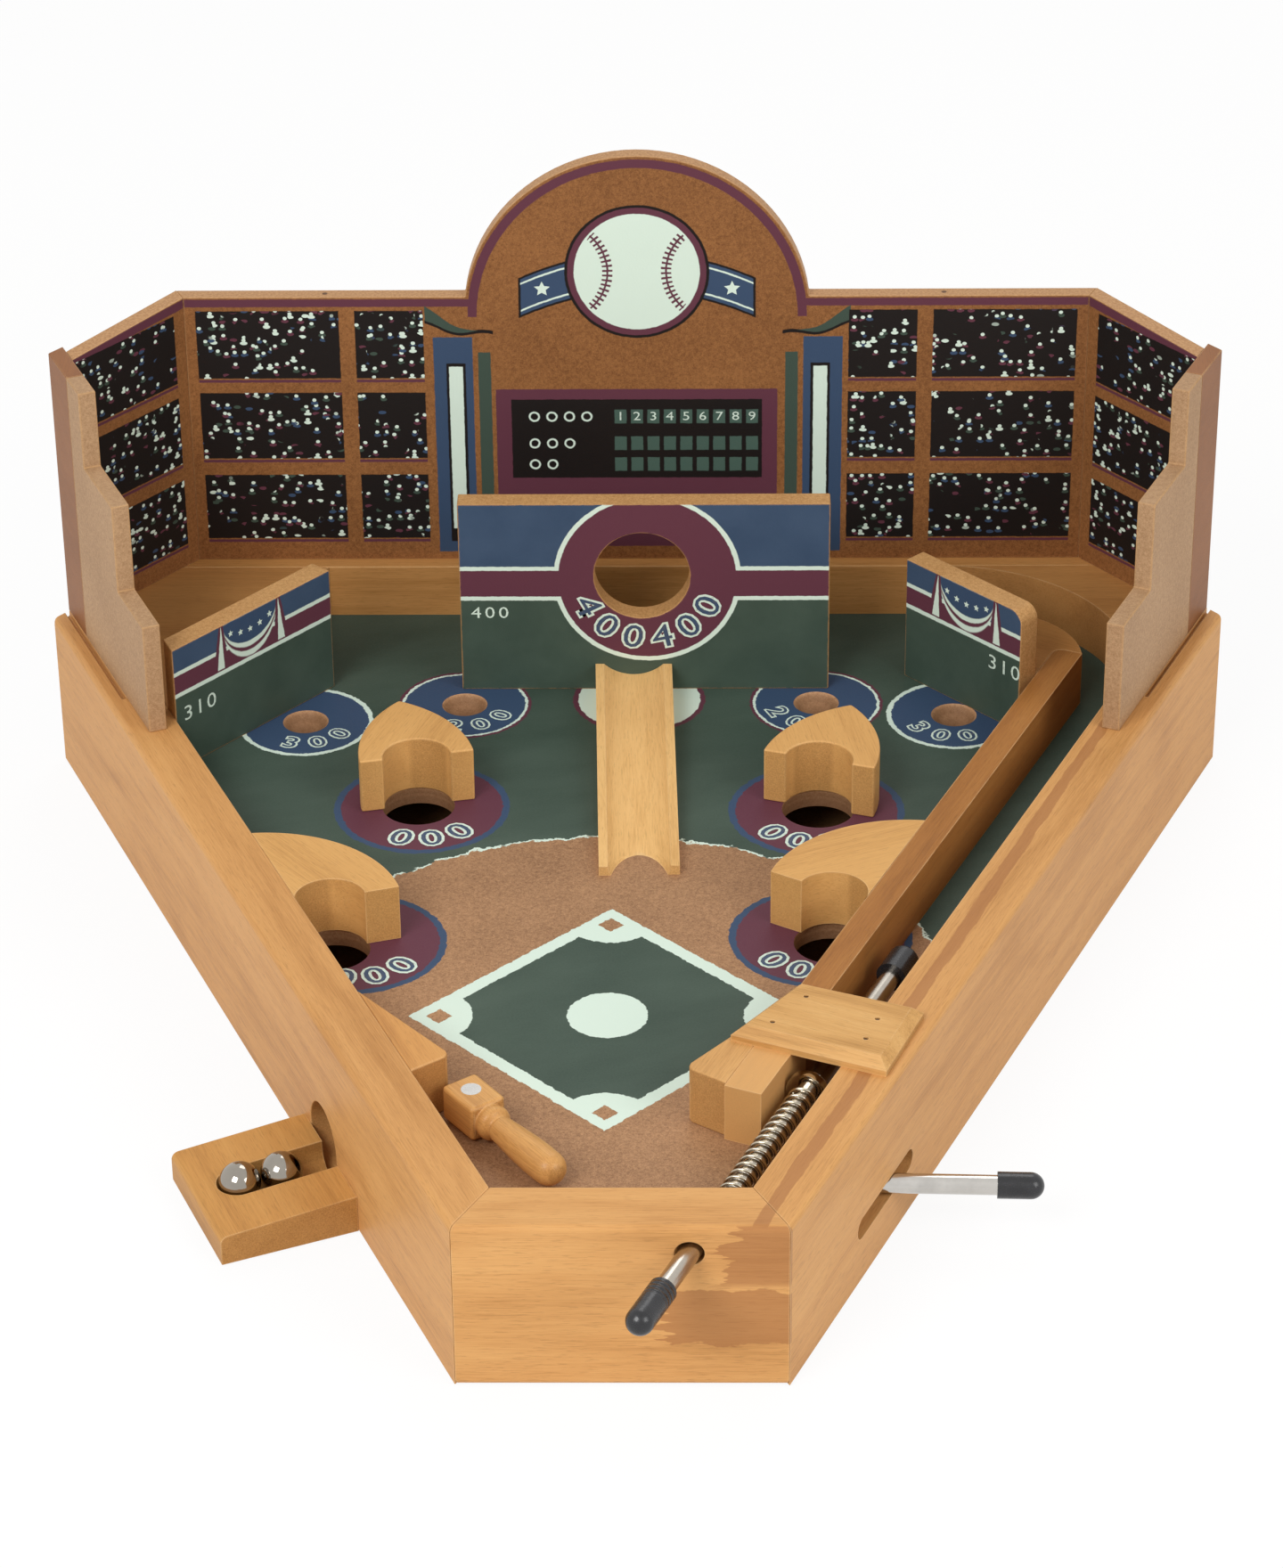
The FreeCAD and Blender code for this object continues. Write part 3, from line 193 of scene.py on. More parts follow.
class Mixer:
    """One material's node tree and the few ways that nodes are added to it."""

    def __init__(self, name: str) -> None:
        """Starts an empty material.

        Args:
            name: The material's name.
        """
        self.material = bpy.data.materials.new(name)
        self.material.use_nodes = True
        self.tree = self.material.node_tree
        self.tree.nodes.clear()

    def node(self, kind: str, settings: Optional[dict] = None,
             sockets: Optional[dict] = None) -> bpy.types.Node:
        """Adds any node.

        Args:
            kind: The node's type.
            settings: Its settings, and a ramp's stops under "stops".
            sockets: Values or links of its inputs, by name or number.

        Returns:
            The node.
        """
        made = self.tree.nodes.new(kind)
        for key, value in (settings or {}).items():
            if key == "stops":
                ramp = made.color_ramp
                while len(ramp.elements) < len(value):
                    ramp.elements.new(0.5)
                for element, (place, colour) in zip(ramp.elements, value):
                    element.position = place
                    element.color = colour
            else:
                setattr(made, key, value)
        for key, value in (sockets or {}).items():
            if isinstance(value, Signal):
                self.tree.links.new(value.socket, made.inputs[key])
            else:
                made.inputs[key].default_value = value
        return made

    def maths(self, operation: str, *values: Union[Signal, float], clamp: bool = False) -> Signal:
        """Adds one Math node and returns its result."""
        made = self.node("ShaderNodeMath", {"operation": operation, "use_clamp": clamp},
                         dict(enumerate(values)))
        return Signal(self, made.outputs[0])

    def blend(self, mask: Union[Signal, float], under: Union[Signal, tuple],
              over: Union[Signal, tuple]) -> Signal:
        """Lays one colour over another where a mask is 1."""
        made = self.node("ShaderNodeMix", {"data_type": "RGBA"}, {0: mask, 6: under, 7: over})
        return Signal(self, made.outputs[2])

    def coordinates(self) -> Signal:
        """The piece's own coordinates, in metres."""
        return Signal(self, self.node("ShaderNodeTexCoord").outputs["Object"])

    def place(self) -> Tuple[Signal, Signal, Signal]:
        """Drawing-frame x, y and z in millimetres.

        Returns:
            The three signals.
        """
        moved = self.node("ShaderNodeVectorMath", {"operation": "MULTIPLY_ADD"},
                          {0: self.coordinates(), 1: (1000.0,) * 3, 2: (0.0, HALF_DEPTH, 0.0)})
        split = self.node("ShaderNodeSeparateXYZ", None, {0: Signal(self, moved.outputs[0])})
        return tuple(Signal(self, split.outputs[i]) for i in range(3))

    def facing(self, way: Triple) -> Signal:
        """How far a face looks along a direction, from -1 to 1.

        Args:
            way: The direction, as a unit vector.

        Returns:
            Cosine between the face and the direction.
        """
        normal = Signal(self, self.node("ShaderNodeTexCoord").outputs["Normal"])
        dot = self.node("ShaderNodeVectorMath", {"operation": "DOT_PRODUCT"}, {0: normal, 1: way})
        return Signal(self, dot.outputs["Value"])

    def turned(self, degrees: float, scale: Triple = (1.0, 1.0, 1.0)) -> Signal:
        """Own coordinates turned about Z by minus a direction, so that X runs along it, then scaled.

        Args:
            degrees: The direction, turned from X about Z.
            scale: Scale along the turned X, Y and Z.

        Returns:
            The turned and scaled coordinates.
        """
        turn = self.node("ShaderNodeMapping", {"vector_type": "POINT"},
                         {"Vector": self.coordinates(), "Rotation": (0.0, 0.0, -math.radians(degrees))})
        scaled = self.node("ShaderNodeMapping", {"vector_type": "POINT"},
                           {"Vector": Signal(self, turn.outputs[0]), "Scale": scale})
        return Signal(self, scaled.outputs[0])

    def noise(self, where: Signal, scale: float, detail: float = 2.0, rough: float = 0.5) -> Signal:
        """Soft noise about 0.5."""
        made = self.node("ShaderNodeTexNoise", None,
                         {"Vector": where, "Scale": scale, "Detail": detail, "Roughness": rough})
        return Signal(self, made.outputs[0])

    def streaks(self, degrees: float, along: float, across: float, detail: float = 3.0,
                rough: float = 0.6) -> Signal:
        """Noise drawn out along a direction.

        Args:
            degrees: The direction, turned from X about Z.
            along: How often the noise changes along the direction, per metre.
            across: How often it changes across the direction, per metre.
            detail: The noise's detail.
            rough: The noise's roughness.

        Returns:
            Noise about 0.5.
        """
        return self.noise(self.turned(degrees, (along, across, across)), 1.0, detail, rough)

    def wobble(self, degrees: float, scale: Triple, detail: float = 4.0, rough: float = 0.7) -> Signal:
        """Noise about 0, for the uneven edge of a mark."""
        return self.noise(self.turned(degrees, scale), 1.0, detail, rough) - 0.5

    def printed_grit(self) -> Signal:
        """The fine grit of printed board."""
        return self.noise(self.coordinates(), 1500.0, 3.0, 0.65)

    def worn(self, radius: float) -> Signal:
        """1 on outer and inner edges within a radius in metres.

        Args:
            radius: Reach of the wear from an edge, in metres.

        Returns:
            Mask of the worn edges.
        """
        bent = Signal(self, self.node("ShaderNodeBevel", {"samples": 4}, {"Radius": radius}).outputs[0])
        flat = Signal(self, self.node("ShaderNodeNewGeometry").outputs["Normal"])
        dot = self.node("ShaderNodeVectorMath", {"operation": "DOT_PRODUCT"}, {0: bent, 1: flat})
        return Signal(self, dot.outputs["Value"]).under(0.965, 0.05)

    def finish_board(self, colour: Signal, grit: Signal) -> bpy.types.Material:
        """Closes the material of a printed board with its grit."""
        return self.finish(colour, grit * 0.2 + 0.42, height=grit, rise=0.00005, specular=0.22)

    def finish(self, colour: Union[Signal, tuple], rough: Union[Signal, float], *,
               height: Optional[Signal] = None, rise: float = 0.0001, metal: float = 0.0,
               coat: float = 0.0, coat_rough: float = 0.2, specular: float = 0.5) -> bpy.types.Material:
        """Adds the surface shader and closes the material.

        Args:
            colour: Base colour.
            rough: Roughness.
            height: Signal of the bump, if there is one.
            rise: Height in metres that a signal of 1 stands for.
            metal: Metallic value.
            coat: Clear coat's weight.
            coat_rough: Clear coat's roughness.
            specular: Specular level.

        Returns:
            The material.
        """
        sockets = {"Base Color": colour, "Roughness": rough, "Metallic": metal, "Coat Weight": coat,
                   "Coat Roughness": coat_rough, "Specular IOR Level": specular}
        if height is not None:
            bump = self.node("ShaderNodeBump", None, {"Height": height, "Distance": rise, "Strength": 1.0})
            sockets["Normal"] = Signal(self, bump.outputs[0])
        shader = self.node("ShaderNodeBsdfPrincipled", None, sockets)
        self.node("ShaderNodeOutputMaterial", None, {"Surface": Signal(self, shader.outputs[0])})
        return self.material


class Press:
    """A printed face: inks are laid one after another over a ground colour."""

    star_waist: float = 2.1

    def __init__(self, mixer: Mixer, across: Signal, up: Signal, ground: Signal, ragged: float = 0.6) -> None:
        """Starts on a ground colour, with coordinates in millimetres across and up the face.

        Args:
            mixer: The material's mixer.
            across: Distance across the face, in millimetres.
            up: Distance up the face, in millimetres.
            ground: Colour under the inks.
            ragged: How far the inks' edges wander, in millimetres.
        """
        shift_across = mixer.noise(mixer.coordinates(), 420.0, 3.0, 0.65) - 0.5
        shift_up = mixer.noise(mixer.turned(40.0), 430.0, 3.0, 0.65) - 0.5
        self.mixer = mixer
        self.across = across + shift_across * ragged
        self.up = up + shift_up * ragged
        self.colour = ground

    def lay(self, mask: Signal, ink: Union[Ink, Signal, tuple]) -> None:
        """Prints one ink where a mask is 1."""
        self.colour = self.mixer.blend(mask, self.colour, ink.colour() if isinstance(ink, Ink) else ink)

    def distance(self, x: float, y: float) -> Signal:
        """Distance from a point of the face.

        Args:
            x: Place across the face.
            y: Place up the face.

        Returns:
            The distance, in millimetres.
        """
        dx = self.across - x
        dy = self.up - y
        return (dx * dx + dy * dy).sum("SQRT")

    def disc(self, x: float, y: float, radius: float, ink: Union[Ink, Signal]) -> Signal:
        """Prints a disc and returns its distance signal.

        Args:
            x: Place of its middle across the face.
            y: Place of its middle up the face.
            radius: Its radius.
            ink: Its ink.

        Returns:
            Distance from the disc's middle.
        """
        far = self.distance(x, y)
        self.lay(far.under(radius), ink)
        return far

    def box(self, left: float, right: float, low: float, high: float, soft: float = 0.25) -> Signal:
        """Mask of an upright rectangle."""
        return self.across.between(left, right, soft) * self.up.between(low, high, soft)

    def star(self, x: float, y: float, radius: float, ink: Ink) -> None:
        """Prints a five-pointed star.

        Args:
            x: Place of its middle across the face.
            y: Place of its middle up the face.
            radius: Size of the star, from its middle to a point.
            ink: Its ink.
        """
        dx = self.across - x
        dy = self.up - y
        turn = self.mixer.maths("ARCTAN2", dx, dy)
        sector = abs(turn.sum("WRAP", -math.pi / 5, math.pi / 5))
        far = (dx * dx + dy * dy).sum("SQRT")
        edge = far * (sector.sum("COSINE") + sector.sum("SINE") * self.star_waist)
        self.lay(edge.under(radius, 0.2), ink)


@dataclass(frozen=True)
class BoardGround:
    """Bare pressed-fibre board: speckled brown."""

    light: Triple = (172, 124, 88)
    dark: Triple = (112, 74, 48)

    def speckle(self, mixer: Mixer) -> Signal:
        """Speckled colour of the bare board.

        Args:
            mixer: The material's mixer.

        Returns:
            The board's colour.
        """
        here = mixer.coordinates()
        coarse = mixer.noise(here, 900.0, 3.0, 0.7)
        fine = mixer.noise(here, 2600.0, 2.0, 0.6)
        cloud = mixer.noise(here, 28.0, 2.0, 0.5)
        level = coarse * 0.6 + fine * 0.55 + cloud * 0.25 - 0.2
        return mixer.blend(level.over(0.5, 0.42), tint(*self.dark), tint(*self.light))


@dataclass(frozen=True)
class Stain:
    """The darker stain on the front wall's right end and in a line along the right wall's top."""

    colour: Triple = (160, 104, 60)
    depth: float = 0.64
    patch_from: float = 12.0
    patch_low: float = 14.5
    patch_high: float = 33.0
    upper_from: float = 31.0
    upper_low: float = 35.0
    front_until: float = 1.0
    line_inward: float = 8.6
    line_slope: float = -0.012
    line_half: float = 2.1
    line_low: float = 54.2
    line_until: float = 312.0
    jag_reach: float = 12.0
    finger_reach: float = 38.0
    edge_reach: float = 9.0
    wave_reach: float = 5.0

    def front(self, mixer: Mixer, x: Signal, y: Signal, z: Signal) -> Signal:
        """Mask of the patch on the front wall, with fingers along the grain.

        Args:
            mixer: The material's mixer.
            x: The place's x, in millimetres.
            y: The place's y, in millimetres.
            z: The place's z, in millimetres.

        Returns:
            Mask of the patch.
        """
        jag = mixer.wobble(0.0, (60.0, 60.0, 300.0))
        finger = mixer.wobble(0.0, (14.0, 9.0, 210.0), 3.0, 0.6)
        edge = mixer.wobble(0.0, (55.0, 55.0, 90.0))
        reach = x + jag * self.jag_reach + finger * self.finger_reach
        height = (z + edge * self.edge_reach).between(self.patch_low, self.patch_high, 0.5)
        patch = reach.over(self.patch_from, 0.6) * height
        upper = reach.over(self.upper_from, 0.6) * z.over(self.upper_low, 2.0)
        return patch.sum("MAXIMUM", upper) * y.under(self.front_until, 0.5)

    def line(self, mixer: Mixer, x: Signal, y: Signal, z: Signal) -> Signal:
        """Mask of the wavy line along the right wall's top.

        Args:
            mixer: The material's mixer.
            x: The place's x, in millimetres.
            y: The place's y, in millimetres.
            z: The place's z, in millimetres.

        Returns:
            Mask of the line.
        """
        inward = x * -COS + y * SIN + FRONT_HALF * COS
        along = along_wall(x, y)
        wave = mixer.wobble(WALL_TURN, (26.0, 90.0, 26.0))
        off = inward + wave * self.wave_reach + along * self.line_slope - self.line_inward
        on_top = abs(off).under(self.line_half, 0.35) * z.over(self.line_low, 0.3)
        return on_top * along.under(self.line_until, 2.0)

    def lay(self, mixer: Mixer, colour: Signal) -> Signal:
        """Stains a wood's colour.

        Args:
            mixer: The material's mixer.
            colour: The colour so far.

        Returns:
            The stained colour.
        """
        x, y, z = mixer.place()
        mask = self.front(mixer, x, y, z).sum("MAXIMUM", self.line(mixer, x, y, z)) * self.depth
        return mixer.blend(mask, colour, tint(*self.colour))


@dataclass(frozen=True)
class Wood:
    """Lacquered or bare wood with its grain along one direction."""

    name: str
    degrees: float = 0.0
    light: Triple = (225, 173, 110)
    middle: Triple = (208, 153, 92)
    dark: Triple = (175, 121, 65)
    edge: Triple = (232, 194, 142)
    figure: float = 0.5
    lacquer: float = 0.06
    stained: bool = False
    worn: float = 0.5
    worn_width: float = 0.0007
    pale_until: float = 0.0
    pale: Triple = (236, 184, 118)
    ring_rates: Triple = (260.0, 190.0, 26.0)

    def rings(self, mixer: Mixer) -> Signal:
        """Year rings across the grain, bent by slow noise.

        Args:
            mixer: The material's mixer.

        Returns:
            1 at the middle of a dark ring.
        """
        split = mixer.node("ShaderNodeSeparateXYZ", None, {0: mixer.turned(self.degrees)})
        side = Signal(mixer, split.outputs[1])
        lift = Signal(mixer, split.outputs[2])
        bend = mixer.streaks(self.degrees, 7.0, 22.0, 2.0, 0.5)
        by_side, by_lift, by_bend = self.ring_rates
        wave = (side * by_side + lift * by_lift + bend * by_bend).sum("SINE")
        return (wave * 0.5 + 0.5).sum("POWER", 2.5)

    def long_grain(self, mixer: Mixer, fibre: Signal, streak: Signal) -> Signal:
        """Colour of the faces along the grain, with dark flecks.

        Args:
            mixer: The material's mixer.
            fibre: Fine noise along the grain.
            streak: Broad noise along the grain.

        Returns:
            The colour along the grain.
        """
        drift = mixer.streaks(self.degrees, 5.0, 34.0, 3.0, 0.5)
        figure = self.rings(mixer) * (0.16 * self.figure)
        level = drift * 0.56 + streak * 0.36 + fibre * 0.46 - figure - 0.17
        stops = [(0.22, tint(*self.dark)), (0.5, tint(*self.middle)), (0.86, tint(*self.light))]
        ramp = mixer.node("ShaderNodeValToRGB", {"stops": stops}, {0: level})
        fleck = mixer.streaks(self.degrees, 190.0, 2400.0, 2.0)
        return mixer.blend(fleck.over(0.62, 0.1) * 0.26, Signal(mixer, ramp.outputs[0]),
                           tint(*[c * 0.8 for c in self.dark]))

    def end_grain(self, mixer: Mixer, colour: Signal) -> Signal:
        """Darkens the faces across the grain and gives them pores.

        Args:
            mixer: The material's mixer.
            colour: The colour so far.

        Returns:
            The colour with its end grain.
        """
        run = (math.cos(math.radians(self.degrees)), math.sin(math.radians(self.degrees)), 0.0)
        end = abs(mixer.facing(run)).over(0.82, 0.1)
        pores = mixer.noise(mixer.coordinates(), 2300.0, 2.0, 0.6)
        shade = mixer.blend(pores.over(0.5, 0.4), tint(*[c * 0.84 for c in self.dark]),
                            tint(*[c * 0.95 for c in self.middle]))
        return mixer.blend(end * 0.6, colour, shade)

    def pale_foot(self, mixer: Mixer, colour: Signal) -> Signal:
        """Lightens the part of a piece that lies near the front, up to pale_until along the wall.

        Args:
            mixer: The material's mixer.
            colour: The colour so far.

        Returns:
            The lightened colour.
        """
        x, y, _ = mixer.place()
        foot = along_wall(x, y).under(self.pale_until, 0.3)
        return mixer.blend(foot, colour, mixer.blend(0.62, colour, tint(*self.pale)))

    def material(self) -> bpy.types.Material:
        """Builds the wood's material.

        Returns:
            The material.
        """
        mixer = Mixer(self.name)
        fibre = mixer.streaks(self.degrees, 70.0, 2200.0)
        streak = mixer.streaks(self.degrees, 9.0, 300.0, 4.0)
        colour = self.end_grain(mixer, self.long_grain(mixer, fibre, streak))
        if self.stained:
            colour = Stain().lay(mixer, colour)
        if self.pale_until:
            colour = self.pale_foot(mixer, colour)
        patchy = mixer.noise(mixer.coordinates(), 130.0, 3.0, 0.6).over(0.38, 0.3)
        colour = mixer.blend(mixer.worn(self.worn_width) * patchy * self.worn, colour, tint(*self.edge))
        return mixer.finish(colour, fibre * 0.2 + 0.44, height=fibre + streak * 0.5, rise=0.00006,
                            coat=self.lacquer, coat_rough=0.3, specular=0.22)


@dataclass(frozen=True)
class Metal:
    """Bright metal with faint drawing marks."""

    name: str
    colour: Triple = (214, 210, 204)
    rough: float = 0.14
    degrees: float = 0.0
    marks: float = 0.12

    def material(self) -> bpy.types.Material:
        """Builds the metal's material.

        Returns:
            The material.
        """
        mixer = Mixer(self.name)
        drawn = mixer.streaks(self.degrees, 40.0, 3000.0)
        cloud = mixer.noise(mixer.coordinates(), 160.0, 3.0, 0.6)
        shade = mixer.blend(cloud.over(0.5, 0.6), tint(*[c * 0.9 for c in self.colour]), tint(*self.colour))
        return mixer.finish(shade, drawn * self.marks + self.rough, metal=1.0, height=drawn, rise=0.000008)


@dataclass(frozen=True)
class Rubber:
    """Glossy black dipped rubber, with rings near its mouth if it is ribbed."""

    name: str = "black_rubber_cap"
    ribbed: bool = False
    ribs: Plan = (-24.5, -18.6)
    rib_rate: float = 3.4

    def material(self) -> bpy.types.Material:
        """Builds the rubber's material.

        Returns:
            The material.
        """
        mixer = Mixer(self.name)
        cloud = mixer.noise(mixer.coordinates(), 300.0, 3.0, 0.6)
        fine = mixer.noise(mixer.coordinates(), 2400.0, 2.0, 0.5)
        shade = mixer.blend(cloud.over(0.5, 0.6), tint(24, 24, 26), tint(40, 40, 43))
        height = cloud * 0.3 + fine * 0.04
        if self.ribbed:
            x, y, _ = mixer.place()
            along = along_wall(x, y, Plunger.line_start[0])
            wave = (along * self.rib_rate).sum("SINE") * along.between(*self.ribs, 0.8)
            height = height + wave * 0.22
        return mixer.finish(shade, fine * 0.12 + 0.2, height=height, rise=0.0004, specular=0.5)


@dataclass(frozen=True)
class PlainBoard:
    """Unprinted fibre board for panels that stay bare."""

    name: str
    light: Triple = (196, 160, 122)
    dark: Triple = (154, 118, 84)
    edge: Triple = (204, 158, 102)

    def material(self) -> bpy.types.Material:
        """Builds the board's material.

        Returns:
            The material.
        """
        mixer = Mixer(self.name)
        colour = BoardGround(self.light, self.dark).speckle(mixer)
        fuzz = mixer.noise(mixer.coordinates(), 1800.0, 3.0, 0.7)
        colour = mixer.blend(mixer.worn(0.0009) * 0.6, colour, tint(*self.edge))
        return mixer.finish(colour, fuzz * 0.2 + 0.5, height=fuzz, rise=0.00008, specular=0.25)


@dataclass(frozen=True)
class FieldPrint:
    """The playfield's print: outfield, infield, diamond and the rings round the holes."""

    out_rings: Tuple[Plan, ...] = ((-68.8, 256.4), (59.4, 254.0), (-85.3, 174.6), (59.2, 178.0))
    ring_radii: Plan = (28.6, 26.3)
    outer_dishes: Tuple[Plan, ...] = ((-110.7, 312.1), (106.7, 316.0))
    outer_radii: Plan = (22.6, 21.0)
    inner_dishes: Tuple[Plan, ...] = ((-57.8, 323.4), (60.7, 324.2))
    inner_radii: Tuple[float, ...] = (22.4, 21.3, 20.4)
    middle_disc: Plan = (1.0, 327.0)
    middle_radii: Plan = (22.4, 20.6)
    diamond: Plan = (-6.0, 134.0)
    half: float = 60.5
    border: float = 6.4
    corner_inset: float = 4.5
    corner_radius: float = 15.0
    base_inset: float = 9.3
    base_half: float = 3.9
    middle_spot: Tuple[float, float, float] = (-6.2, 134.4, 12.3)
    infield: Plan = (-6.0, 127.0)
    infield_radius: float = 111.0
    infield_line: Plan = (-0.5, 0.6)
    line_from: float = 150.0

    def rings(self, press: Press) -> None:
        """Prints the rings and discs round the holes and dishes.

        Args:
            press: The face that is printed.
        """
        for x, y in self.out_rings:
            far = press.disc(x, y, self.ring_radii[0], Ink.NAVY)
            press.lay(far.under(self.ring_radii[1]), Ink.MAROON)
        for x, y in self.outer_dishes:
            far = press.disc(x, y, self.outer_radii[0], Ink.MINT)
            press.lay(far.under(self.outer_radii[1]), Ink.NAVY)
        rim, line, disc = self.inner_radii
        for x, y in self.inner_dishes:
            far = press.disc(x, y, rim, Ink.MAROON)
            press.lay(far.between(disc - 0.1, line), Ink.MINT)
            press.lay(far.under(disc), Ink.NAVY)
        far = press.disc(*self.middle_disc, self.middle_radii[0], Ink.MAROON)
        press.lay(far.under(self.middle_radii[1]), Ink.MINT)

    def bases(self, press: Press, bare: Signal) -> None:
        """Prints the diamond, its corner arcs, the four bases and the middle spot.

        Args:
            press: The face that is printed.
            bare: Colour of the bare board.
        """
        cx, cy = self.diamond
        ways = ((0, 1), (0, -1), (1, 0), (-1, 0))
        dx = press.across - cx
        dy = press.up - cy
        reach = abs(dx) + abs(dy)
        press.lay(reach.under(self.half), Ink.MINT)
        inner = reach.under(self.half - self.border)
        arc_out = self.half - self.corner_inset
        for sx, sy in ways:
            corner = press.distance(cx + sx * arc_out, cy + sy * arc_out)
            inner = inner * corner.over(self.corner_radius)
        press.lay(inner, self.green(press.mixer))
        base_out = self.half - self.base_inset
        for sx, sy in ways:
            base = abs(dx - sx * base_out) + abs(dy - sy * base_out)
            press.lay(base.under(self.base_half), bare)
        press.disc(*self.middle_spot, Ink.MINT)

    def green(self, mixer: Mixer) -> Signal:
        """Green ink with faint rubbed clouds.

        Args:
            mixer: The material's mixer.

        Returns:
            The ink's colour.
        """
        cloud = mixer.noise(mixer.turned(20.0, (18.0, 40.0, 30.0)), 1.0, 4.0, 0.6)
        grit = mixer.noise(mixer.coordinates(), 1500.0, 2.0, 0.6)
        level = cloud * 0.7 + grit * 0.3
        return mixer.blend(level.over(0.52, 0.4), tint(58, 74, 64), tint(76, 92, 81))

    def material(self) -> bpy.types.Material:
        """Builds the playfield's material, with painted shade inside its dishes and holes.

        Returns:
            The material.
        """
        mixer = Mixer("field_print_ink")
        x, y, z = mixer.place()
        bare = BoardGround((192, 148, 108), (130, 94, 66)).speckle(mixer)
        press = Press(mixer, x, y, self.green(mixer), 1.7)
        scrawl = mixer.wobble(0.0, (85.0, 85.0, 85.0), 4.0, 0.75)
        far = press.distance(*self.infield) + scrawl * 10.0
        inside = far.under(self.infield_radius)
        front = y.under(self.infield[1] - 10.0, 1.0)
        press.lay(inside.sum("MAXIMUM", front), bare)
        gaps = mixer.noise(mixer.coordinates(), 110.0, 2.0, 0.6).over(0.44, 0.05)
        low, high = (self.infield_radius + edge for edge in self.infield_line)
        press.lay(far.between(low, high) * gaps * y.over(self.line_from), Ink.MINT)
        self.rings(press)
        self.bases(press, bare)
        top = mixer.facing((0.0, 0.0, 1.0)).over(0.985, 0.02) * z.over(FIELD_TOP - 0.3, 0.1)
        core = BoardGround((204, 160, 120), (158, 114, 78)).speckle(mixer)
        # Painted shade: the dishes and holes are darkened the deeper they go under the board's top.
        painted_depth_shade = z.under(FIELD_TOP - 2.0, 3.2) * 0.62
        core = mixer.blend(painted_depth_shade, core, tint(96, 62, 40))
        # Painted shade: a darker ring just under the board's top, round the rims of the dishes and holes.
        rim = z.between(FIELD_TOP - 2.4, FIELD_TOP - 0.5, 0.8) * 0.4
        core = mixer.blend(rim, core, tint(92, 58, 34))
        colour = mixer.blend(top, core, press.colour)
        grit = mixer.noise(mixer.coordinates(), 1700.0, 3.0, 0.65)
        return mixer.finish_board(colour, grit)


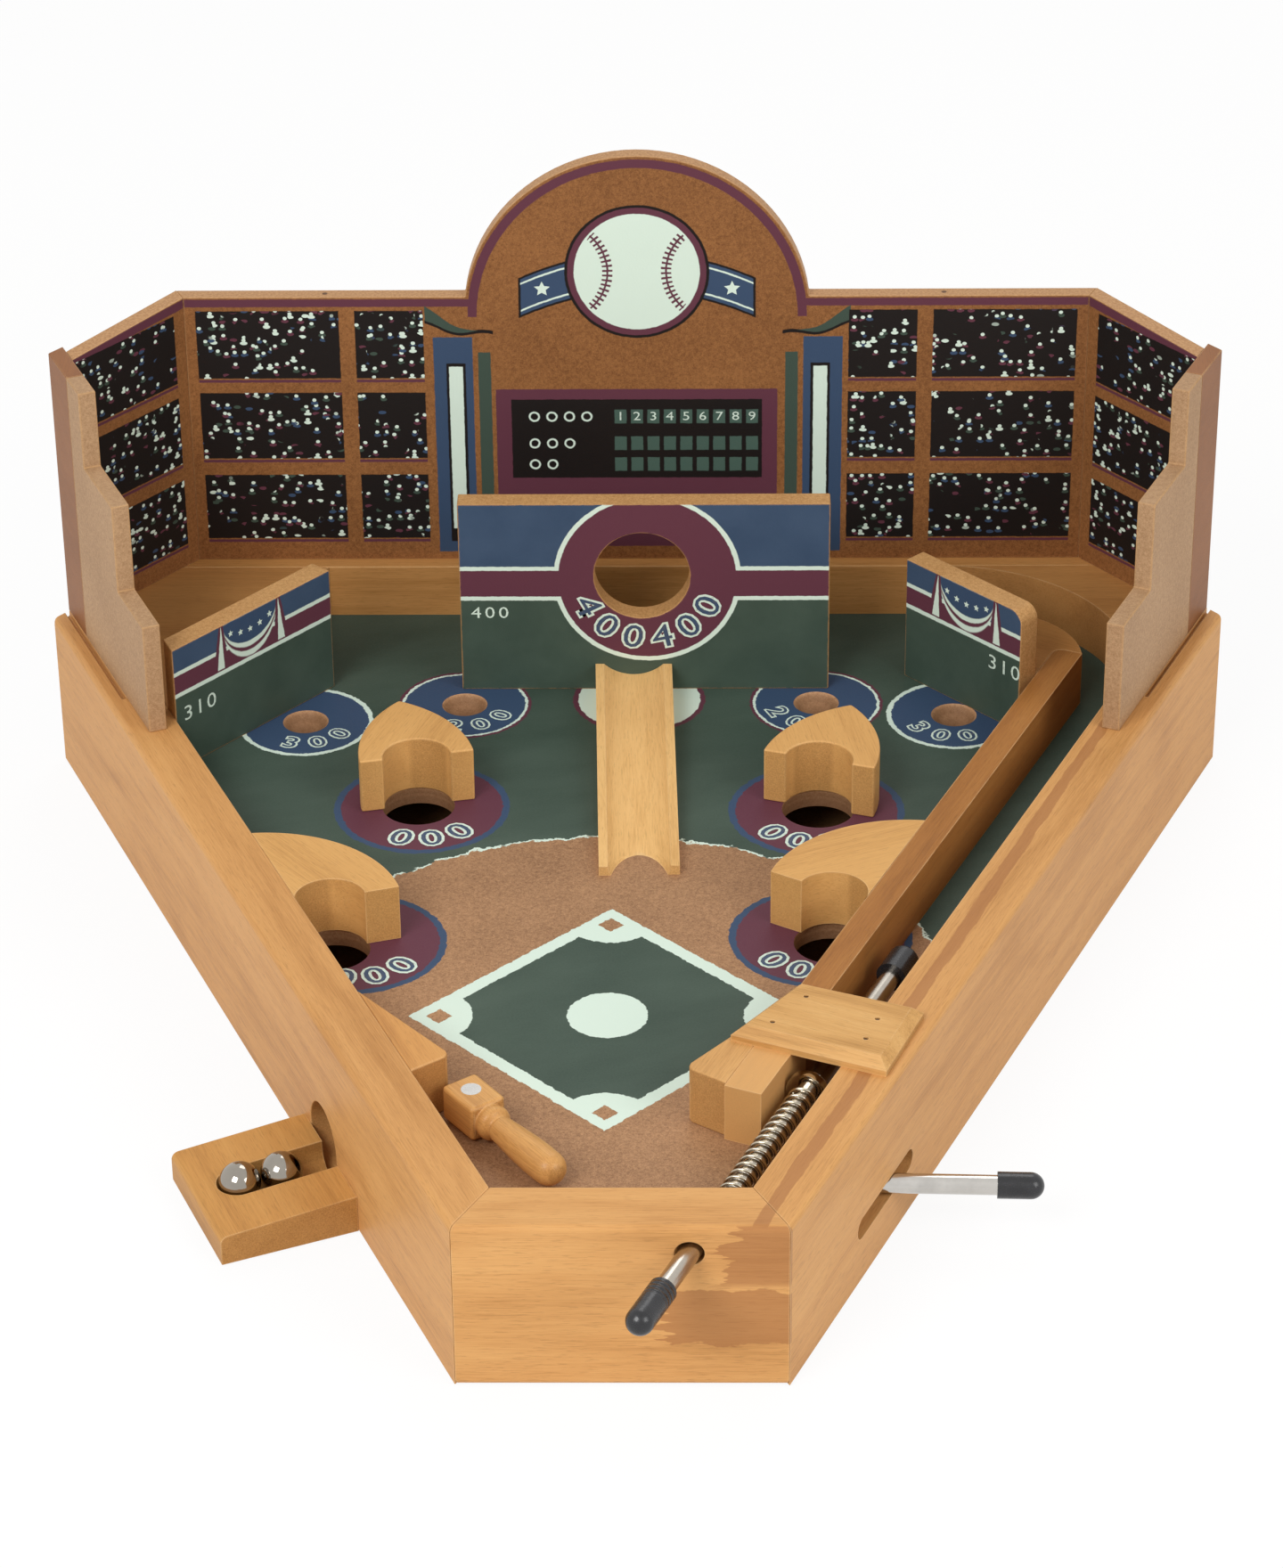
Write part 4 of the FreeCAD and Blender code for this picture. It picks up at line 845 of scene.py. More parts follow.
@dataclass(frozen=True)
class FencePrint:
    """The three fences' fronts: navy over maroon over green, with white lines."""

    turn: float = 0.0
    start: Plan = (0.0, 334.0)
    name: str = "center_fence_ink"
    swag_at: float = 0.0
    top: float = 80.8
    center_bands: Plan = (82.2, 71.0)
    side_bands: Plan = (71.4, 63.5)
    target: Plan = (4.0, 78.5)
    target_radii: Plan = (31.4, 29.8)
    band_joins: float = 33.0
    swag_layers: Tuple[Tuple[float, float, Ink], ...] = (
        (12.8, 16.2, Ink.MINT), (12.8, 14.1, Ink.MAROON), (12.6, 12.6, Ink.MINT), (12.6, 10.7, Ink.NAVY))
    tail_out: float = 13.2
    tail_long: float = 16.4
    tail_half: float = 0.9
    tail_lean: float = 0.05
    tail_spread: Plan = (0.16, 0.1)
    stars: int = 5
    star_step: float = 4.5
    star_drop: float = 6.4
    star_bow: float = 0.022
    star_radius: float = 1.25

    def swag(self, press: Press, middle: float) -> None:
        """Prints the hanging bunting with its row of stars.

        Args:
            press: The face that is printed.
            middle: Place of the swag's middle along the fence.
        """
        dx = press.across - middle
        dy = press.up - self.top
        for wide, low, ink in self.swag_layers:
            oval = dx * dx * (1.0 / wide ** 2) + dy * dy * (1.0 / low ** 2)
            press.lay(oval.under(1.0, 0.06) * press.up.under(self.top - 0.3), ink)
        outer, inner = self.tail_spread
        for side in (-1, 1):
            drop = self.top - press.up
            tail = abs(dx - side * self.tail_out - drop * (side * self.tail_lean))
            dark = (tail - drop * outer).under(self.tail_half)
            press.lay(dark * drop.between(0.0, self.tail_long), Ink.MAROON)
            light = (tail - drop * inner).under(0.0)
            press.lay(light * drop.between(0.6, self.tail_long - 0.4), Ink.MINT)
        for i in range(self.stars):
            out = (i - (self.stars - 1) // 2) * self.star_step
            height = self.top - self.star_drop + out * out * self.star_bow
            press.star(middle + out, height, self.star_radius, Ink.MINT)

    def bands(self, press: Press, navy: Signal, upper: float, lower: float) -> None:
        """Prints the mint-lined maroon and navy bands over the green.

        Args:
            press: The face that is printed.
            navy: Colour of the upper band.
            upper: Height of the navy band's lower edge.
            lower: Height of the maroon band's lower edge.
        """
        press.lay(press.up.over(lower - 0.8), Ink.MINT)
        press.lay(press.up.over(lower + 0.7), Ink.MAROON)
        press.lay(press.up.over(upper - 0.7), Ink.MINT)
        press.lay(press.up.over(upper + 0.8), navy)

    def target_ring(self, press: Press, upper: float, lower: float) -> None:
        """Prints the ring round the center fence's hole, joined to the maroon band.

        Args:
            press: The face that is printed.
            upper: Height of the navy band's lower edge.
            lower: Height of the maroon band's lower edge.
        """
        x, z = self.target
        far = press.disc(x, z, self.target_radii[0], Ink.MINT)
        press.lay(far.under(self.target_radii[1]), Ink.MAROON)
        press.lay((press.across - x).between(-60.0, 60.0) * press.up.between(lower + 0.7, upper - 0.7)
                  * far.under(self.band_joins), Ink.MAROON)

    def material(self) -> bpy.types.Material:
        """Builds the fence's material.

        Returns:
            The material.
        """
        mixer = Mixer(self.name)
        x, y, z = mixer.place()
        run = (math.cos(math.radians(self.turn)), math.sin(math.radians(self.turn)))
        along = (x - self.start[0]) * run[0] + (y - self.start[1]) * run[1]
        cloud = mixer.noise(mixer.coordinates(), 60.0, 3.0, 0.6)
        green = mixer.blend(cloud.over(0.5, 0.5), tint(60, 76, 66), tint(72, 88, 77))
        navy = mixer.blend(cloud.over(0.5, 0.5), tint(56, 76, 102), tint(66, 86, 112))
        press = Press(mixer, along, z, green, 0.5)
        if self.turn == 0.0:
            self.bands(press, navy, *self.center_bands)
            self.target_ring(press, *self.center_bands)
            front_way = (0.0, -1.0, 0.0)
        else:
            self.bands(press, navy, *self.side_bands)
            self.swag(press, self.swag_at)
            side = 1.0 if self.turn < 0 else -1.0
            front_way = (run[1] * side, -run[0] * side, 0.0)
        front = mixer.facing(front_way).over(0.9, 0.05)
        bare = BoardGround((212, 166, 110), (164, 118, 68)).speckle(mixer)
        colour = mixer.blend(front, bare, press.colour)
        chips = mixer.noise(mixer.coordinates(), 260.0, 3.0, 0.7).over(0.44, 0.1)
        colour = mixer.blend(mixer.worn(0.0007) * chips * 0.8, colour, tint(186, 138, 90))
        return mixer.finish_board(colour, mixer.printed_grit())


@dataclass(frozen=True)
class Crowd:
    """Black boxes of spectators: scattered light heads over darker bodies."""

    layers: Tuple[Tuple[float, float, float], ...] = ((0.0, 0.3, 0.4), (37.0, 0.26, 0.27))
    coats: Tuple[Tuple[float, float, Ink], ...] = (
        (0.0, 0.34, Ink.MAROON), (0.34, 0.6, Ink.NAVY), (0.6, 0.84, Ink.GREEN), (0.84, 1.0, Ink.MINT))
    body: Plan = (0.62, 2.4)
    body_drop: float = 1.1
    head: Plan = (2.1, 2.6)
    bare_heads: float = 0.8
    seat_shift: float = 0.8
    cluster_rate: float = 0.07
    cluster_pull: float = 1.4

    def lay(self, press: Press, mask: Signal) -> None:
        """Prints the boxes.

        Args:
            press: The face that is printed.
            mask: 1 inside the boxes.
        """
        mixer = press.mixer
        press.lay(mask, Ink.BLACK)
        for shift, scale, share in self.layers:
            across = press.across + shift
            flat = mixer.node("ShaderNodeCombineXYZ", None, {0: across, 1: press.up})
            where = Signal(mixer, flat.outputs[0])
            cluster = mixer.noise(where, self.cluster_rate, 1.0, 0.5)
            cells = mixer.node("ShaderNodeTexVoronoi", {"voronoi_dimensions": "2D"},
                               {"Vector": where, "Scale": scale, "Randomness": self.seat_shift})
            seat = mixer.node("ShaderNodeSeparateXYZ", None, {0: Signal(mixer, cells.outputs["Position"])})
            tone = mixer.node("ShaderNodeSeparateColor", None, {0: Signal(mixer, cells.outputs["Color"])})
            draw, coat, hat = (Signal(mixer, tone.outputs[i]) for i in range(3))
            dx = across - Signal(mixer, seat.outputs[0])
            dy = press.up - Signal(mixer, seat.outputs[1])
            low = dy + self.body_drop
            chosen = mask * (draw - (cluster - 0.5) * self.cluster_pull).under(share, 0.02)
            body = dx * dx * self.body[0] + low * low * self.body[1]
            for least, most, ink in self.coats:
                press.lay(chosen * body.under(1.0, 0.3) * coat.between(least, most, 0.01), ink)
            head = dx * dx * self.head[0] + dy * dy * self.head[1]
            press.lay(chosen * head.under(1.0, 0.3) * hat.under(self.bare_heads, 0.02), Ink.MINT)


@dataclass(frozen=True)
class Scoreboard:
    """The scoreboard with its black slate, its squares and its lamps."""

    frame_half: float = 48.0
    frame_heights: Plan = (60.0, 120.4)
    slate_half: float = 42.8
    slate_heights: Plan = (86.6, 116.5)
    cell_left: float = -8.2
    cell_right: float = 42.0
    cell_step: float = 5.62
    cell: Plan = (0.6, 4.7)
    cell_rows: Tuple[Plan, ...] = ((107.4, 112.6), (97.2, 102.4), (89.2, 94.4))
    lamp_left: float = -35.0
    lamp_step: float = 6.0
    lamp_rows: Tuple[Tuple[float, int], ...] = ((110.0, 4), (99.8, 3), (91.8, 2))
    lamp_radii: Plan = (1.9, 1.25)

    def lay(self, press: Press) -> None:
        """Prints the scoreboard.

        Args:
            press: The face that is printed.
        """
        press.lay(press.box(-self.frame_half, self.frame_half, *self.frame_heights), Ink.MAROON)
        press.lay(press.box(-self.slate_half, self.slate_half, *self.slate_heights), Ink.BLACK)
        for low, high in self.cell_rows:
            inside = press.across.between(self.cell_left, self.cell_right, 0.3)
            inside = press.up.between(low, high, 0.3) * inside
            cell = (press.across - self.cell_left).sum("MODULO", self.cell_step)
            press.lay(inside * cell.between(*self.cell, 0.3), Ink.DULL_GREEN)
        for z, lamps in self.lamp_rows:
            for i in range(lamps):
                far = press.disc(self.lamp_left + i * self.lamp_step, z, self.lamp_radii[0], Ink.MINT)
                press.lay(far.under(self.lamp_radii[1]), Ink.BLACK)


@dataclass(frozen=True)
class Roundel:
    """The plain stitched ball on a ribbon with two stars."""

    middle: Plan = (0.5, 164.0)
    rim: float = 24.4
    ring: float = 23.4
    ball: float = 21.2
    ribbon_half: float = 40.0
    ribbon_high: float = 7.4
    ribbon_edge: float = 0.8
    ribbon_bow: float = 0.006
    piping: Plan = (4.6, 5.3)
    seam_out: float = 28.0
    seam: Plan = (17.8, 18.5)
    stitch: Plan = (16.4, 19.9)
    stitch_rate: float = 64.0
    star_out: float = 32.0
    star_drop: float = 6.2
    star_radius: float = 2.8

    def ribbon(self, press: Press) -> None:
        """Prints the bowed ribbon behind the ball.

        Args:
            press: The face that is printed.
        """
        x, z = self.middle
        bow = press.up + (press.across - x) * (press.across - x) * self.ribbon_bow
        wide, high, edge = self.ribbon_half, self.ribbon_high, self.ribbon_edge
        press.lay(press.across.between(x - wide, x + wide) * bow.between(z - high, z + high), Ink.BLACK)
        inner = press.across.between(x - wide + edge, x + wide - edge)
        press.lay(inner * bow.between(z - high + edge, z + high - edge), Ink.NAVY)
        press.lay(inner * abs(bow - z).between(*self.piping), Ink.MINT)

    def lay(self, press: Press) -> None:
        """Prints the ribbon, the ball with its seams and the stars.

        Args:
            press: The face that is printed.
        """
        self.ribbon(press)
        x, z = self.middle
        far = press.disc(x, z, self.rim, Ink.BLACK)
        press.lay(far.under(self.ring), Ink.MAROON)
        press.lay(far.under(self.ball), Ink.MINT)
        for side in (-1, 1):
            seam_x = x + side * self.seam_out
            seam = press.distance(seam_x, z)
            press.lay(seam.between(*self.seam) * far.under(self.ball - 0.6), Ink.MAROON)
            turn = press.mixer.maths("ARCTAN2", press.up - z, press.across - seam_x)
            stitch = (turn * self.stitch_rate).sum("SINE").over(0.25, 0.5)
            press.lay(seam.between(*self.stitch) * stitch * far.under(self.ball - 0.8), Ink.MAROON)
            press.star(x + side * self.star_out, z - self.star_drop, self.star_radius, Ink.MINT)


@dataclass(frozen=True)
class Pillars:
    """The two pillars with their light bars, green strips and pennants."""

    middle: float = 0.6
    navy: Tuple[Plan, Plan] = ((56.1, 69.4), (58.0, 140.0))
    black: Tuple[Plan, Plan] = ((58.6, 65.2), (62.0, 130.2))
    mint: Tuple[Plan, Plan] = ((59.6, 64.3), (67.0, 129.0))
    green: Tuple[Plan, Plan] = ((50.0, 54.3), (58.0, 134.3))
    pole: Plan = (49.0, 72.0)
    pennant: Plan = (54.0, 72.0)
    pennant_low: float = 132.0
    pennant_wave: Plan = (0.28, 1.3)
    pennant_rise: float = 0.18
    pennant_slant: Plan = (-0.3, -16.2)

    def lay(self, press: Press) -> None:
        """Prints the pillars on both sides of the scoreboard.

        Args:
            press: The face that is printed.
        """
        side = abs(press.across - self.middle)
        for (wide, high), ink in ((self.navy, Ink.NAVY), (self.black, Ink.BLACK), (self.mint, Ink.MINT),
                                  (self.green, Ink.GREEN)):
            press.lay(side.between(*wide) * press.up.between(*high), ink)
        rate, reach = self.pennant_wave
        swing = (side * rate).sum("SINE") * reach + side * self.pennant_rise
        blade = press.up - self.pennant_low - swing
        press.lay(side.between(*self.pole) * blade.between(-1.0, 0.3), Ink.BLACK)
        lean, edge = self.pennant_slant
        slant = (side * lean + blade).under(edge)
        press.lay(side.between(*self.pennant) * blade.over(0.0) * slant, Ink.GREEN)


@dataclass(frozen=True)
class StadiumPrint:
    """The back panel's and wings' fronts: boxes of spectators, pillars, scoreboard and roundel."""

    wing: bool = False
    rows: Tuple[Plan, ...] = ((63.4, 88.0), (94.3, 119.3), (124.7, 149.9))
    sill: Plan = (1.5, 0.5)
    panel_boxes: Tuple[Plan, ...] = ((-149.0, -100.5), (-95.2, -72.0), (72.0, 95.2), (100.5, 149.0))
    wing_boxes: Tuple[Plan, ...] = ((5.0, 51.0),)
    dome_middle: Plan = (0.5, 147.5)
    dome_radius: float = 58.5
    dome_band: Plan = (4.3, 1.2)
    top_band: Plan = (151.4, 154.2)
    wing_band: Plan = (151.2, 154.4)
    wing_corner: Plan = (152.7, 392.2)
    wing_way: Plan = (0.6304, 0.7763)
    nails: Plan = (-105.0, 104.0)
    nail_back: float = 395.2
    nail_radius: float = 0.9

    def wing_face(self, mixer: Mixer, bare: Signal) -> Tuple[Press, Signal]:
        """Starts a wing's print.

        Args:
            mixer: The material's mixer.
            bare: Colour of the bare board.

        Returns:
            The press, and the mask of the wing's front face.
        """
        x, y, z = mixer.place()
        out = abs(x) - self.wing_corner[0]
        back = y - self.wing_corner[1]
        by_x, by_y = self.wing_way
        across = out * by_x - back * by_y
        press = Press(mixer, across, z, bare, 0.45)
        press.lay((press.up + across * 0.05).between(*self.wing_band), Ink.MAROON)
        front = abs(mixer.facing((by_y, by_x, 0.0))).over(0.9, 0.05)
        other = abs(mixer.facing((-by_y, by_x, 0.0))).over(0.9, 0.05)
        near = (out * by_y + back * by_x).under(0.6, 0.4)
        return press, front.sum("MAXIMUM", other) * near

    def panel_face(self, mixer: Mixer, bare: Signal) -> Tuple[Press, Signal]:
        """Starts the domed panel's print, with its border, pillars, scoreboard and roundel.

        Args:
            mixer: The material's mixer.
            bare: Colour of the bare board.

        Returns:
            The press, and the mask of the panel's front face.
        """
        x, _, z = mixer.place()
        press = Press(mixer, x, z, bare, 0.45)
        far = press.distance(*self.dome_middle)
        inner, outer = (self.dome_radius - inset for inset in self.dome_band)
        rim = far.between(inner, outer) * press.up.over(self.dome_middle[1])
        flat = press.up.between(*self.top_band) * far.over(self.dome_radius - 2.6)
        press.lay(rim.sum("MAXIMUM", flat), Ink.MAROON)
        Pillars().lay(press)
        Scoreboard().lay(press)
        Roundel().lay(press)
        return press, mixer.facing((0.0, -1.0, 0.0)).over(0.9, 0.05)

    def boxes(self, press: Press) -> Signal:
        """Prints the sills under the boxes of spectators and returns the boxes' mask.

        Args:
            press: The face that is printed.

        Returns:
            1 inside the boxes.
        """
        spread = None
        for left, right in self.wing_boxes if self.wing else self.panel_boxes:
            strip = press.across.between(left, right)
            spread = strip if spread is None else spread.sum("MAXIMUM", strip)
        lines = None
        under, over = self.sill
        for low, high in self.rows:
            band = press.up.between(low, high)
            lines = band if lines is None else lines.sum("MAXIMUM", band)
            press.lay(spread * press.up.between(low - under, low - over), Ink.MAROON)
        return spread * lines

    def nail_heads(self, mixer: Mixer, colour: Signal) -> Signal:
        """Shades the two nail heads in the panel's top edge.

        Args:
            mixer: The material's mixer.
            colour: The colour so far.

        Returns:
            The colour with its nail heads.
        """
        x, y, z = mixer.place()
        for nail_x in self.nails:
            dx = x - nail_x
            dy = y - self.nail_back
            head = (dx * dx + dy * dy).sum("SQRT").under(self.nail_radius, 0.4) * z.over(154.5)
            colour = mixer.blend(head, colour, tint(96, 66, 42))
        return colour

    def material(self) -> bpy.types.Material:
        """Builds the material of the panel or of the wings.

        Returns:
            The material.
        """
        mixer = Mixer("stadium_wing_ink" if self.wing else "stadium_panel_ink")
        bare = BoardGround((164, 112, 66), (112, 70, 38)).speckle(mixer)
        press, front = self.wing_face(mixer, bare) if self.wing else self.panel_face(mixer, bare)
        Crowd().lay(press, self.boxes(press))
        back = mixer.noise(mixer.coordinates(), 1200.0)
        core = mixer.blend(back.over(0.5, 0.5), tint(164, 118, 76), tint(200, 156, 110))
        colour = mixer.blend(front, core, press.colour)
        if not self.wing:
            colour = self.nail_heads(mixer, colour)
        colour = mixer.blend(mixer.worn(0.0007) * 0.5, colour, tint(206, 164, 116))
        return mixer.finish_board(colour, mixer.printed_grit())


@dataclass(frozen=True)
class FlatInk:
    """Printed numeral ink with worn specks."""

    name: str
    ink: Ink

    def material(self) -> bpy.types.Material:
        """Builds the ink's material.

        Returns:
            The material.
        """
        mixer = Mixer(self.name)
        specks = mixer.noise(mixer.coordinates(), 900.0, 3.0, 0.7)
        shade = mixer.blend(specks.under(0.42, 0.1) * 0.3, self.ink.colour(), tint(120, 100, 84))
        return mixer.finish(shade, specks * 0.2 + 0.4, specular=0.4)


class Workshop:
    """Bench methods that every sub-assembly uses to make and dress pieces."""

    merge: float = 2e-6
    flat_turn: float = 0.4
    bevel_turn: float = 34.0
    smooth_turn: float = 38.0

    def __init__(self) -> None:
        """Starts with no pieces made."""
        self.made: List[str] = []

    def clear(self) -> None:
        """Leaves edit mode and deselects everything."""
        if bpy.context.object and bpy.context.object.mode != "OBJECT":
            bpy.ops.object.mode_set(mode="OBJECT")
        bpy.ops.object.select_all(action="DESELECT")

    def pick(self, piece: bpy.types.Object) -> None:
        """Makes one piece the only selected and active one.

        Args:
            piece: The piece.
        """
        self.clear()
        piece.select_set(True)
        bpy.context.view_layer.objects.active = piece

    def apply(self, piece: bpy.types.Object, kind: str, **settings: object) -> None:
        """Adds one modifier with its settings and applies it.

        Args:
            piece: The piece.
            kind: The modifier's type.
            settings: The modifier's settings.
        """
        self.pick(piece)
        modifier = piece.modifiers.new(kind.lower(), kind)
        for key, value in settings.items():
            setattr(modifier, key, value)
        bpy.ops.object.modifier_apply(modifier=modifier.name)

    def dress(self, piece: bpy.types.Object, material: bpy.types.Material) -> None:
        """Gives a piece one material all over.

        Args:
            piece: The piece.
            material: The finish.
        """
        piece.data.materials.clear()
        piece.data.materials.append(material)
        for polygon in piece.data.polygons:
            polygon.material_index = 0

    def dress_node(self, node: str, material: bpy.types.Material) -> None:
        """Gives a frame node's material slots a better material.

        Args:
            node: The frame node.
            material: The finish.
        """
        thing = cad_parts[node]
        if not thing.material_slots:
            thing.data.materials.append(material)
        for slot in thing.material_slots:
            slot.material = material
        self.made.append(node)
        log.info("dressed node %s with %s", node, material.name)

    def eased(self, node: str, body: Body, material: bpy.types.Material,
              width: float) -> None:
        """Copies a node's shape, eases its edges and lets the copy stand for the node.

        Args:
            node: The frame node.
            body: The body that it rides on.
            material: Its finish.
            width: Width of the eased edges, in millimetres.
        """
        piece = bpy.data.objects.new(node + "_eased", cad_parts[node].data.copy())
        bpy.context.scene.collection.objects.link(piece)
        self.pick(piece)
        bpy.ops.object.mode_set(mode="EDIT")
        bpy.ops.mesh.select_all(action="SELECT")
        bpy.ops.mesh.remove_doubles(threshold=self.merge)
        bpy.ops.mesh.dissolve_limited(angle_limit=math.radians(self.flat_turn))
        bpy.ops.object.mode_set(mode="OBJECT")
        bpy.ops.object.shade_smooth()
        self.apply(piece, "BEVEL", width=width * MM, segments=2, limit_method="ANGLE",
                   angle_limit=math.radians(self.bevel_turn), use_clamp_overlap=True,
                   miter_outer="MITER_ARC")
        self.pick(piece)
        bpy.ops.object.shade_smooth_by_angle(angle=math.radians(self.smooth_turn))
        self.apply(piece, "WEIGHTED_NORMAL", keep_sharp=True, weight=60)
        self.dress(piece, material)
        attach(piece, body.value)
        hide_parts(node)
        self.made.append(piece.name)
        log.info("eased %s, %d faces", piece.name, len(piece.data.polygons))


BENCH = Workshop()


@dataclass
class Numerals:
    """Plain outlined numbers printed on a flat face."""

    origin: Vector
    right_way: Vector
    up_way: Vector
    outline: bpy.types.Material
    fill: Optional[bpy.types.Material]
    size: float = 9.0
    thick: float = 0.55
    lift: float = 0.06
    wide: float = 1.2

    def glyph(self, letter: str, place: Plan, degrees: float, material: bpy.types.Material,
              offset: float, lift: float) -> bpy.types.Object:
        """Makes one numeral as a flat mesh on the face.

        Args:
            letter: The numeral.
            place: Its middle on the face, in millimetres.
            degrees: How far it is turned on the face.
            material: Its ink.
            offset: How far its outline is grown, in millimetres.
            lift: Height over the face, in millimetres.

        Returns:
            The numeral's mesh object.
        """
        BENCH.clear()
        bpy.ops.object.text_add()
        text = bpy.context.object
        text.data.body = letter
        text.data.size = self.size * MM
        text.data.offset = offset * MM
        text.data.align_x = "CENTER"
        text.data.align_y = "CENTER"
        text.data.resolution_u = 3
        bpy.ops.object.convert(target="MESH")
        normal = self.right_way.cross(self.up_way)
        face = Matrix((self.right_way, self.up_way, normal)).transposed().to_4x4()
        turn = Matrix.Rotation(math.radians(degrees), 4, "Z")
        shift = Matrix.Translation((place[0] * MM, place[1] * MM, lift * MM))
        stretch = Matrix.Diagonal((self.wide, 1.0, 1.0, 1.0))
        text.data.transform(Matrix.Translation(self.origin) @ face @ shift @ turn @ stretch)
        text.data.materials.clear()
        text.data.materials.append(material)
        return text

    def write(self, name: str, letters: str, places: Sequence[Tuple[float, float, float]], slot: str) -> None:
        """Prints numerals at places (across, up, degrees) and joins them as one piece.

        Args:
            name: Piece name.
            letters: The numerals.
            places: Each numeral's place across and up the face, and how far it is turned.
            slot: The record's material slot; not used.
        """
        parts = []
        for letter, (x, y, degrees) in zip(letters, places):
            parts.append(self.glyph(letter, (x, y), degrees, self.outline, self.thick, self.lift))
            if self.fill:
                parts.append(self.glyph(letter, (x, y), degrees, self.fill, 0.0, self.lift * 2))
        BENCH.clear()
        for part in parts:
            part.select_set(True)
        bpy.context.view_layer.objects.active = parts[0]
        bpy.ops.object.join()
        piece = bpy.context.object
        piece.name = name
        piece.data.name = name
        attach(piece, Body.CASE.value)
        BENCH.made.append(name)
        log.info("printed %s", name)

    def row(self, name: str, letters: str, left: float, height: float, step: float, slot: str) -> None:
        """Prints numerals in a level row, from the middle of the first one."""
        places = [(left + i * step, height, 0.0) for i in range(len(letters))]
        self.write(name, letters, places, slot)

    def around(self, name: str, letters: str, middle: Plan, centre: float, spacing: Plan,
               slot: str) -> None:
        """Prints numerals along the lower side of a ring, read from outside its foot.

        Args:
            name: Piece name.
            letters: The numerals.
            middle: Ring's middle on the face.
            centre: Direction of the numbers' middle, in degrees from straight down.
            spacing: Radius of the numerals' middles, and degrees between them.
            slot: The record's material slot; not used.
        """
        radius, step = spacing
        places = []
        for i in range(len(letters)):
            turn = centre + (i - (len(letters) - 1) / 2) * step
            angle = math.radians(turn - 90)
            places.append((middle[0] + radius * math.cos(angle), middle[1] + radius * math.sin(angle), turn))
        self.write(name, letters, places, slot)


@dataclass
class Case:
    """Walls, ledge, corner blocks and boards of the box."""

    arris: float = 0.4

    def walls(self) -> None:
        """Eases and dresses the walls, the rear ledge and the corner blocks."""
        ledge = Wood("ledge_wood", light=(206, 152, 90), middle=(190, 136, 78), dark=(158, 106, 56),
                     figure=0.4).material()
        # Painted light: the rear ledge wood is a lighter copy of the ledge wood, lightened to make up for the
        # shade over the back wall.
        rear = Wood("rear_ledge_wood", light=(214, 158, 96), middle=(196, 142, 82),
                    dark=(166, 114, 58), figure=0.4).material()
        for node, wood in (
                ("front_wall", Wood("case_wood_across", stained=True).material()),
                ("right_wall", Wood("case_wood_right", WALL_TURN, stained=True).material()),
                ("left_wall", Wood("case_wood_left", 180 - WALL_TURN).material()),
                ("back_wall", rear),
                ("left_corner_block", ledge),
                ("right_corner_block", ledge)):
            BENCH.eased(node, Body.CASE, wood, self.arris)

    def build(self) -> None:
        """Dresses the whole box."""
        self.walls()
        inner = Wood("inner_wood", light=(206, 164, 112), middle=(186, 142, 92), dark=(150, 106, 64),
                     lacquer=0.0, worn=0.0).material()
        for node in ("left_cleat", "right_cleat", "rear_cleat", "return_divider", "bat_bearing",
                     "lever_block", "floor_batten"):
            BENCH.dress_node(node, inner)
        board = PlainBoard("plain_hardboard", (170, 128, 86), (126, 88, 54), (186, 146, 100)).material()
        for node in ("bottom_board", "return_floor"):
            BENCH.dress_node(node, board)


